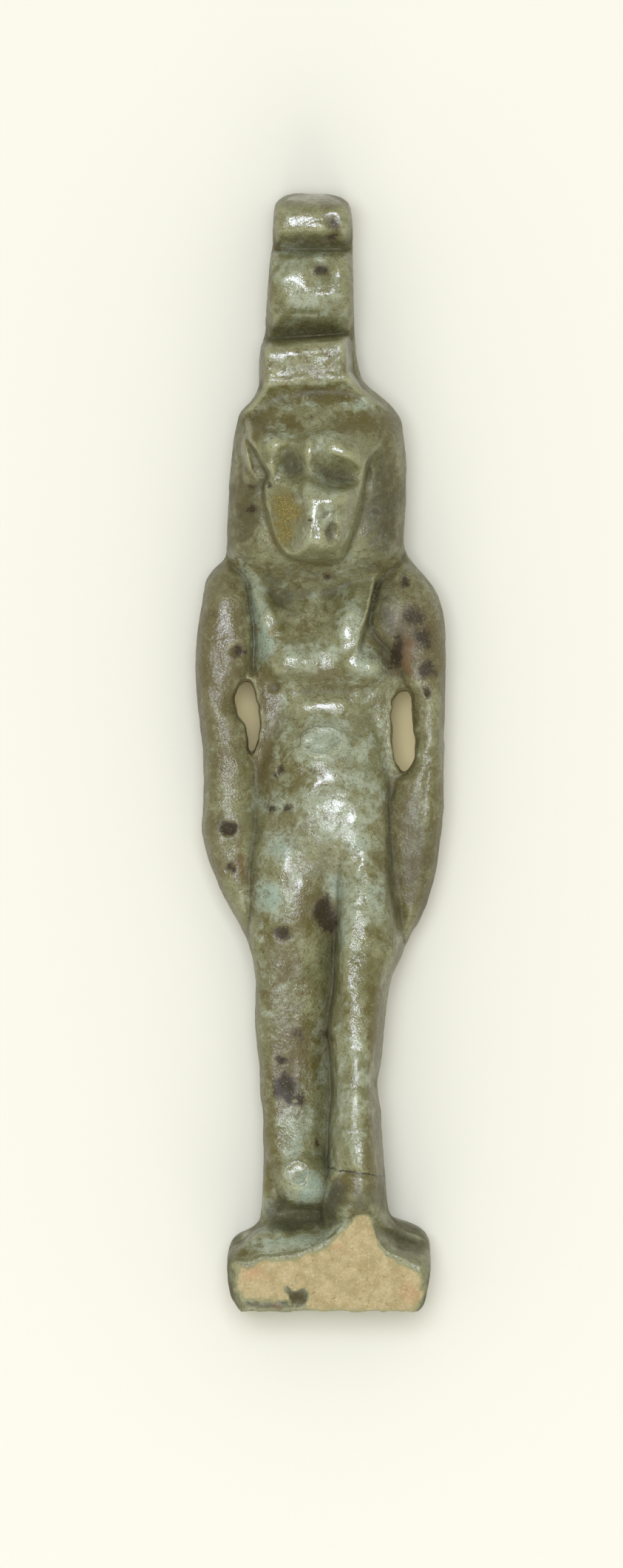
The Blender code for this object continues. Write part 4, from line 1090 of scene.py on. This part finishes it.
def node(kind, values=(), **settings):
    """A new node with its settings, and its sockets set or linked by name or number."""
    made = tree.nodes.new(kind)
    for name, value in settings.items():
        setattr(made, name, value)
    for socket, value in dict(values).items():
        if isinstance(value, bpy.types.NodeSocket):
            tree.links.new(value, made.inputs[socket])
        else:
            made.inputs[socket].default_value = value
    return made


def attribute(name):
    """A float attribute of the mesh."""
    return node("ShaderNodeAttribute", attribute_name=name).outputs["Fac"]


def vector(operation, *values):
    """One step of arithmetic on vectors or colours."""
    return node("ShaderNodeVectorMath", dict(enumerate(values)), operation=operation).outputs[0]


def in_millimetres():
    """The object's own coordinates in millimetres, together and one by one."""
    together = vector("MULTIPLY", node("ShaderNodeTexCoord").outputs["Object"], (1000, 1000, 1000))
    return together, node("ShaderNodeSeparateXYZ", {0: together}).outputs


def noise(scale, detail, roughness=0.6, warp=0.0):
    """Noise in millimetres, from 0 to 1."""
    values = {"Vector": millimetres, "Scale": scale, "Detail": detail, "Roughness": roughness}
    return node("ShaderNodeTexNoise", {**values, "Distortion": warp}).outputs["Fac"]


def cells(vector, scale, feature):
    """Scattered cells: the distance to the middle of each, and its random colour."""
    return node("ShaderNodeTexVoronoi", {"Vector": vector, "Scale": scale}, feature=feature).outputs


def number(operation, a, b=0.5, c=0.5):
    """One step of arithmetic on numbers."""
    return node("ShaderNodeMath", {0: a, 1: b, 2: c}, operation=operation).outputs[0]


def between(value, low, high):
    """0 below low, 1 above high, smooth between."""
    values = {"Value": value, "From Min": low, "From Max": high}
    return node("ShaderNodeMapRange", values, interpolation_type="SMOOTHSTEP").outputs["Result"]


def spread(name, pattern, amount):
    """An attribute broken up by a pattern: attribute + amount * (pattern - 0.5)."""
    return number("MULTIPLY_ADD", number("SUBTRACT", pattern, 0.5), amount, attribute(name))


def from_middle(at_x, at_y, wide, tall):
    """The squared distance from a place, in half widths and half heights."""
    across = number("MULTIPLY", number("SUBTRACT", place[0], at_x), 1 / wide)
    along = number("MULTIPLY", number("SUBTRACT", place[1], at_y), 1 / tall)
    return number("ADD", number("MULTIPLY", across, across), number("MULTIPLY", along, along))


def mix(factor, one, other):
    """Two colours mixed by a factor."""
    return node("ShaderNodeMix", {0: factor, 6: one, 7: other}, data_type="RGBA").outputs[2]


def tint(red, green, blue):
    """A display colour, each part from 0 to 255, as the shader's linear colour."""
    linear = [((part / 255 + 0.055) / 1.055) ** 2.4 for part in (red, green, blue)]
    return (*linear, 1)


def over(under, mask, low, high, strength, *shade):
    """A display colour laid over another as a mask goes from low to high, at some strength."""
    return mix(number("MULTIPLY", between(mask, low, high), strength), under, tint(*shade))


def surface(values):
    """The material's shader and its output."""
    shader = node("ShaderNodeBsdfPrincipled", values)
    node("ShaderNodeOutputMaterial", {"Surface": shader.outputs[0]})


faience, tree = empty_material("faience_glaze")
millimetres, place = in_millimetres()
broad = noise(0.8, 3)
middling = noise(2.6, 4, 0.65)
clouds = noise(1.7, 6, 0.7, 0.8)
fine = noise(9, 4, 0.7)
specks = noise(16, 2, 0.6)
hollow = attribute("swell")
edge = attribute("bulge")
bare = attribute("core")

# The green ground, with turquoise islands, olive and brown clouds, and pale edges where
# the glaze is thin. Painted shade lies in hollows and creases, over the darker pooled
# glaze there, and broad bulges are paler, partly from thin glaze and partly from painted light.
colour = mix(between(broad, 0.36, 0.64), tint(108, 108, 76), tint(132, 133, 102))
swirl = node("ShaderNodeTexNoise", {"Vector": millimetres, "Scale": 2.2}).outputs["Color"]
warped = vector("MULTIPLY_ADD", swirl, (1.1, 1.1, 1.1), millimetres)
islands = cells(warped, 1.5, "SMOOTH_F1")["Distance"]
patch = number("MULTIPLY_ADD", number("SUBTRACT", 0.42, islands), 1.6, spread("blue", middling, 1.8))
colour = over(colour, patch, 0.15, 1.1, 0.9, 157, 165, 148)
colour = over(colour, attribute("blue"), 0.75, 1.5, 0.8, 136, 160, 156)
patch = number("MULTIPLY_ADD", attribute("blue"), -0.25, spread("olive", clouds, 3.8))
colour = over(colour, patch, 0.05, 1.0, 0.85, 88, 79, 34)
colour = over(colour, noise(5.5, 4, 0.7, 0.3), 0.53, 0.7, 0.6, 82, 74, 38)
colour = over(colour, spread("brown", noise(3.3, 5, 0.7, 0.4), 2.4), 0.2, 0.9, 0.8, 94, 84, 54)
# Painted shade in broad hollows, over darker pooled glaze, and painted light on broad bulges.
colour = over(colour, hollow, -1.0, -9.0, 0.42, 60, 60, 42)
colour = over(colour, hollow, 2.5, 9.0, 0.25, 158, 162, 134)
# Painted shade, from the dark marks.
colour = over(colour, spread("dark", middling, 0.9), 0.1, 1.1, 0.8, 58, 57, 38)
colour = over(colour, edge, 0.32, 1.3, 0.5, 162, 164, 132)
# Painted shade in narrow creases, over darker pooled glaze.
colour = over(colour, edge, -0.2, -1.2, 0.35, 66, 60, 36)

# Veins, the amber patch with its yellow flecks, the named stains, and loose dots.
veins = number("ABSOLUTE", number("SUBTRACT", noise(1.5, 6, 0.65, 1.2), 0.5))
veins = number("MULTIPLY", between(veins, 0.014, 0.002), between(broad, 0.42, 0.6))
colour = mix(number("MULTIPLY", veins, 0.8), colour, tint(78, 66, 34))
patch = between(spread("amber", fine, 1.2), 0.05, 1.1)
colour = mix(number("MULTIPLY", patch, 0.8), colour, tint(108, 94, 38))
yellow = number("MULTIPLY", between(noise(17, 1, 0.5), 0.6, 0.68), between(patch, 0.5, 1))
colour = mix(number("MULTIPLY", yellow, 0.8), colour, tint(196, 178, 84))
patch = spread("stain", fine, 1.5)
colour = over(colour, patch, 0.12, 0.6, 0.5, 80, 66, 40)
colour = over(colour, patch, 0.5, 0.95, 0.85, 38, 28, 6)
DOTS = ((2.6, 0, 0.45, 0.16, -0.05, 0.03, 0.75, 58, 48, 30), (6, 1, 0.5, 0.4, -0.08, 0.06, 0.6, 56, 48, 30))
for scale, part, fewest, size, *rest in DOTS:
    dots = cells(millimetres, scale, "F1")
    chosen = node("ShaderNodeSeparateColor", {0: dots["Color"]}).outputs[part]
    dot = number("MULTIPLY", number("SUBTRACT", chosen, fewest), size)
    colour = over(colour, number("SUBTRACT", dot, dots["Distance"]), *rest)
colour = over(colour, specks, 0.61, 0.7, 0.6, 60, 54, 34)
colour = over(colour, noise(7, 3, 0.7), 0.57, 0.7, 0.45, 76, 66, 40)
colour = over(colour, noise(12, 2, 0.5), 0.65, 0.75, 0.35, 186, 188, 164)
# Painted shade on the steep sides near the outline.
painted_side_shade = number("MULTIPLY", attribute("steepness"), between(noise(1.2, 3), 0.35, 0.6))
colour = mix(number("MULTIPLY", painted_side_shade, 0.6), colour, tint(74, 66, 36))
colour = over(colour, spread("pink", middling, 1.2), 0.35, 1.2, 0.7, 104, 78, 48)
colour = vector("MULTIPLY", colour, (1.0, 0.985, 0.86))

# The old break across the ankle: a thin dirty line, wavering by a few hundredths.
slope = number("MULTIPLY_ADD", place[0], 0.147, 0.05)
wander = number("MULTIPLY", number("SUBTRACT", noise(1.6, 3, 0.6), 0.5), 0.35)
crack = number("ADD", number("ADD", number("ADD", place[1], 16.755), slope), wander)
crack = between(number("ABSOLUTE", crack), 0.055, 0.015)
crack = number("MULTIPLY", crack, between(place[0], 0.2, 0.35))
crack = number("MULTIPLY", crack, between(place[2], 1.8, 2.4))
colour = mix(number("MULTIPLY", crack, 0.85), colour, tint(46, 40, 26))

# The sandy core, the glassy seam round it, and the dusty walls of the gaps.
sand = mix(between(noise(2, 5, 0.7), 0.35, 0.65), tint(157, 142, 98), tint(183, 166, 125))
sand = over(sand, spread("pink", clouds, 2.0), 0.1, 1.2, 0.42, 190, 144, 106)
sand = over(sand, noise(11, 3, 0.6), 0.5, 0.62, 0.4, 166, 146, 100)
sand = over(sand, noise(10, 3, 0.7), 0.55, 0.66, 0.45, 206, 197, 168)
sand = over(sand, noise(4.5, 2, 0.6), 0.64, 0.7, 0.7, 140, 118, 74)
glassy = number("MULTIPLY", between(bare, 0.0, 0.3), between(bare, 1.0, 0.5))
colour = mix(between(bare, 0.35, 0.75), colour, sand)
colour = mix(number("MULTIPLY", glassy, 0.6), colour, tint(150, 148, 108))
colour = mix(attribute("walls"), colour, tint(182, 170, 126))

# The gloss, duller where it is stained or has painted shade, worn, steep or bare.
polish = number("MULTIPLY_ADD", between(noise(7, 2, 0.6), 0.35, 0.62), 0.1, 0.05)
ROUGHER = {"level": -0.05, "dull": 0.12, "dark": 0.45, "stain": 0.3, "steepness": 0.3, "amber": 0.25}
for name, rougher in ROUGHER.items():
    polish = number("MULTIPLY_ADD", attribute(name), rougher, polish)
polish = number("MULTIPLY_ADD", between(edge, -0.02, -0.4), 0.3, polish)
polish = number("MAXIMUM", polish, between(number("MAXIMUM", bare, attribute("walls")), 0.0, 0.5))

# Unevenness too fine for the mesh, and thin raised rings at the navel and on the foot,
# with a painted highlight along them.
rings = 0
for at_x, at_y, wide, tall in ((0.06, 0.44, 0.84, 0.56), (-0.97, -17.05, 0.48, 0.45)):
    far = number("SQRT", from_middle(at_x, at_y, wide, tall))
    far = number("MULTIPLY_ADD", number("SUBTRACT", middling, 0.5), 0.6, far)
    off = number("ABSOLUTE", number("SUBTRACT", far, 1))
    rings = number("ADD", between(off, 0.1 / wide, 0.0), rings)
rings = number("MULTIPLY", rings, between(place[2], 3, 4))
smoother = number("MULTIPLY_ADD", attribute("level"), -0.00003, 0.000045)
coarser = number("MULTIPLY_ADD", attribute("dull"), 0.00003, 0.000026)
coarser = number("MULTIPLY_ADD", attribute("level"), -0.000014, coarser)
bumps = [(0.6, smoother, noise(4.2, 4, 0.55)), (0.9, 0.00003, rings), (0.7, coarser, noise(9, 3, 0.6))]
below = {}
for strength, distance, height in bumps:
    values = {"Strength": strength, "Distance": distance, "Height": height, **below}
    below = {"Normal": node("ShaderNodeBump", values).outputs[0]}
# Painted highlight: the rings' crests are made paler.
colour = over(colour, rings, 0.3, 1.0, 0.22, 190, 196, 180)
surface({"Base Color": colour, "Roughness": polish, "IOR": 1.5, **below})

amulet = placed("glazed_figure", body)
body.materials.clear()
body.materials.append(faience)
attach(amulet, "root")
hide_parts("amulet")

# The sheet of smooth pale paper that the amulet lies on, with painted warm shade where
# it shows through the gaps.
FLOOR = 0.9
paper_mesh = bpy.data.meshes.new("paper")
corners = [(-FLOOR, -FLOOR, 0), (FLOOR, -FLOOR, 0), (FLOOR, FLOOR, 0), (-FLOOR, FLOOR, 0)]
paper_mesh.from_pydata(corners, [], [(0, 1, 2, 3)])
paper = placed("paper", paper_mesh)
cream, tree = empty_material("cream_paper")
millimetres, place = in_millimetres()
colour = tint(230, 228, 213)
# Painted warm shade on the paper under the two gaps.
for middle_x, middle_y in ((-2.94, 1.34), (3.36, 0.83)):
    far = from_middle(middle_x, middle_y, 0.8, 1.9)
    colour = mix(between(far, 1.7, 0.8), colour, tint(230, 215, 164))
surface({"Base Color": colour, "Roughness": 0.9, "Specular IOR Level": 0.2})
paper_mesh.materials.append(cream)
paper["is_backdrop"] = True


# The studio: a small cool light and a broad ceiling above, a weak warm fill from the
# feet's side, a pale room, and a camera straight above the middle of the photograph.
def softbox(name, place, width, height, power, warmth):
    """A rectangular light that faces the origin."""
    light = bpy.data.lights.new(name, "AREA")
    light.shape = "RECTANGLE"
    light.size = width
    light.size_y = height
    light.energy = power
    light.color = warmth
    lamp = placed(name, light)
    lamp.location = place
    lamp.rotation_euler = (-Vector(place)).to_track_quat("-Z", "Y").to_euler()
    lamp.visible_camera = False


softbox("overhead", (-0.012, 0.022, 0.42), 0.105, 0.1, 0.85, (0.93, 0.985, 1.14))
softbox("ceiling", (-0.02, 0.03, 0.5), 0.5, 0.45, 0.5, (1.0, 0.98, 0.92))
softbox("foot_fill", (0.02, -0.3, 0.3), 0.3, 0.3, 0.42, (1.0, 0.98, 0.93))

world = bpy.data.worlds.new("studio")
world.use_nodes = True
world.node_tree.nodes["Background"].inputs["Color"].default_value = (1.0, 0.985, 0.93, 1)
world.node_tree.nodes["Background"].inputs["Strength"].default_value = 0.5
bpy.context.scene.world = world
bpy.context.scene.view_settings.view_transform = "Standard"

SENSOR = 36
CAMERA_ABOVE = 0.8
OUTLINE_PLANE = 0.0033
PHOTO_TALL = 2122 * STEP
PHOTO_COLUMN = 421.5
PHOTO_ROW = 1061
camera_data = bpy.data.cameras.new("camera")
camera_data.sensor_width = SENSOR
camera_data.lens = SENSOR * CAMERA_ABOVE / PHOTO_TALL
camera_data.clip_start = 0.01
camera_data.clip_end = 10
camera = placed("camera", camera_data)
camera_x = (PHOTO_COLUMN - MIDDLE) * STEP
camera.location = (camera_x, BASE_TOP + (BASE_ROW - PHOTO_ROW) * STEP, OUTLINE_PLANE + CAMERA_ABOVE)
bpy.context.scene.camera = camera

bpy.context.view_layer.update()
low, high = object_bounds()
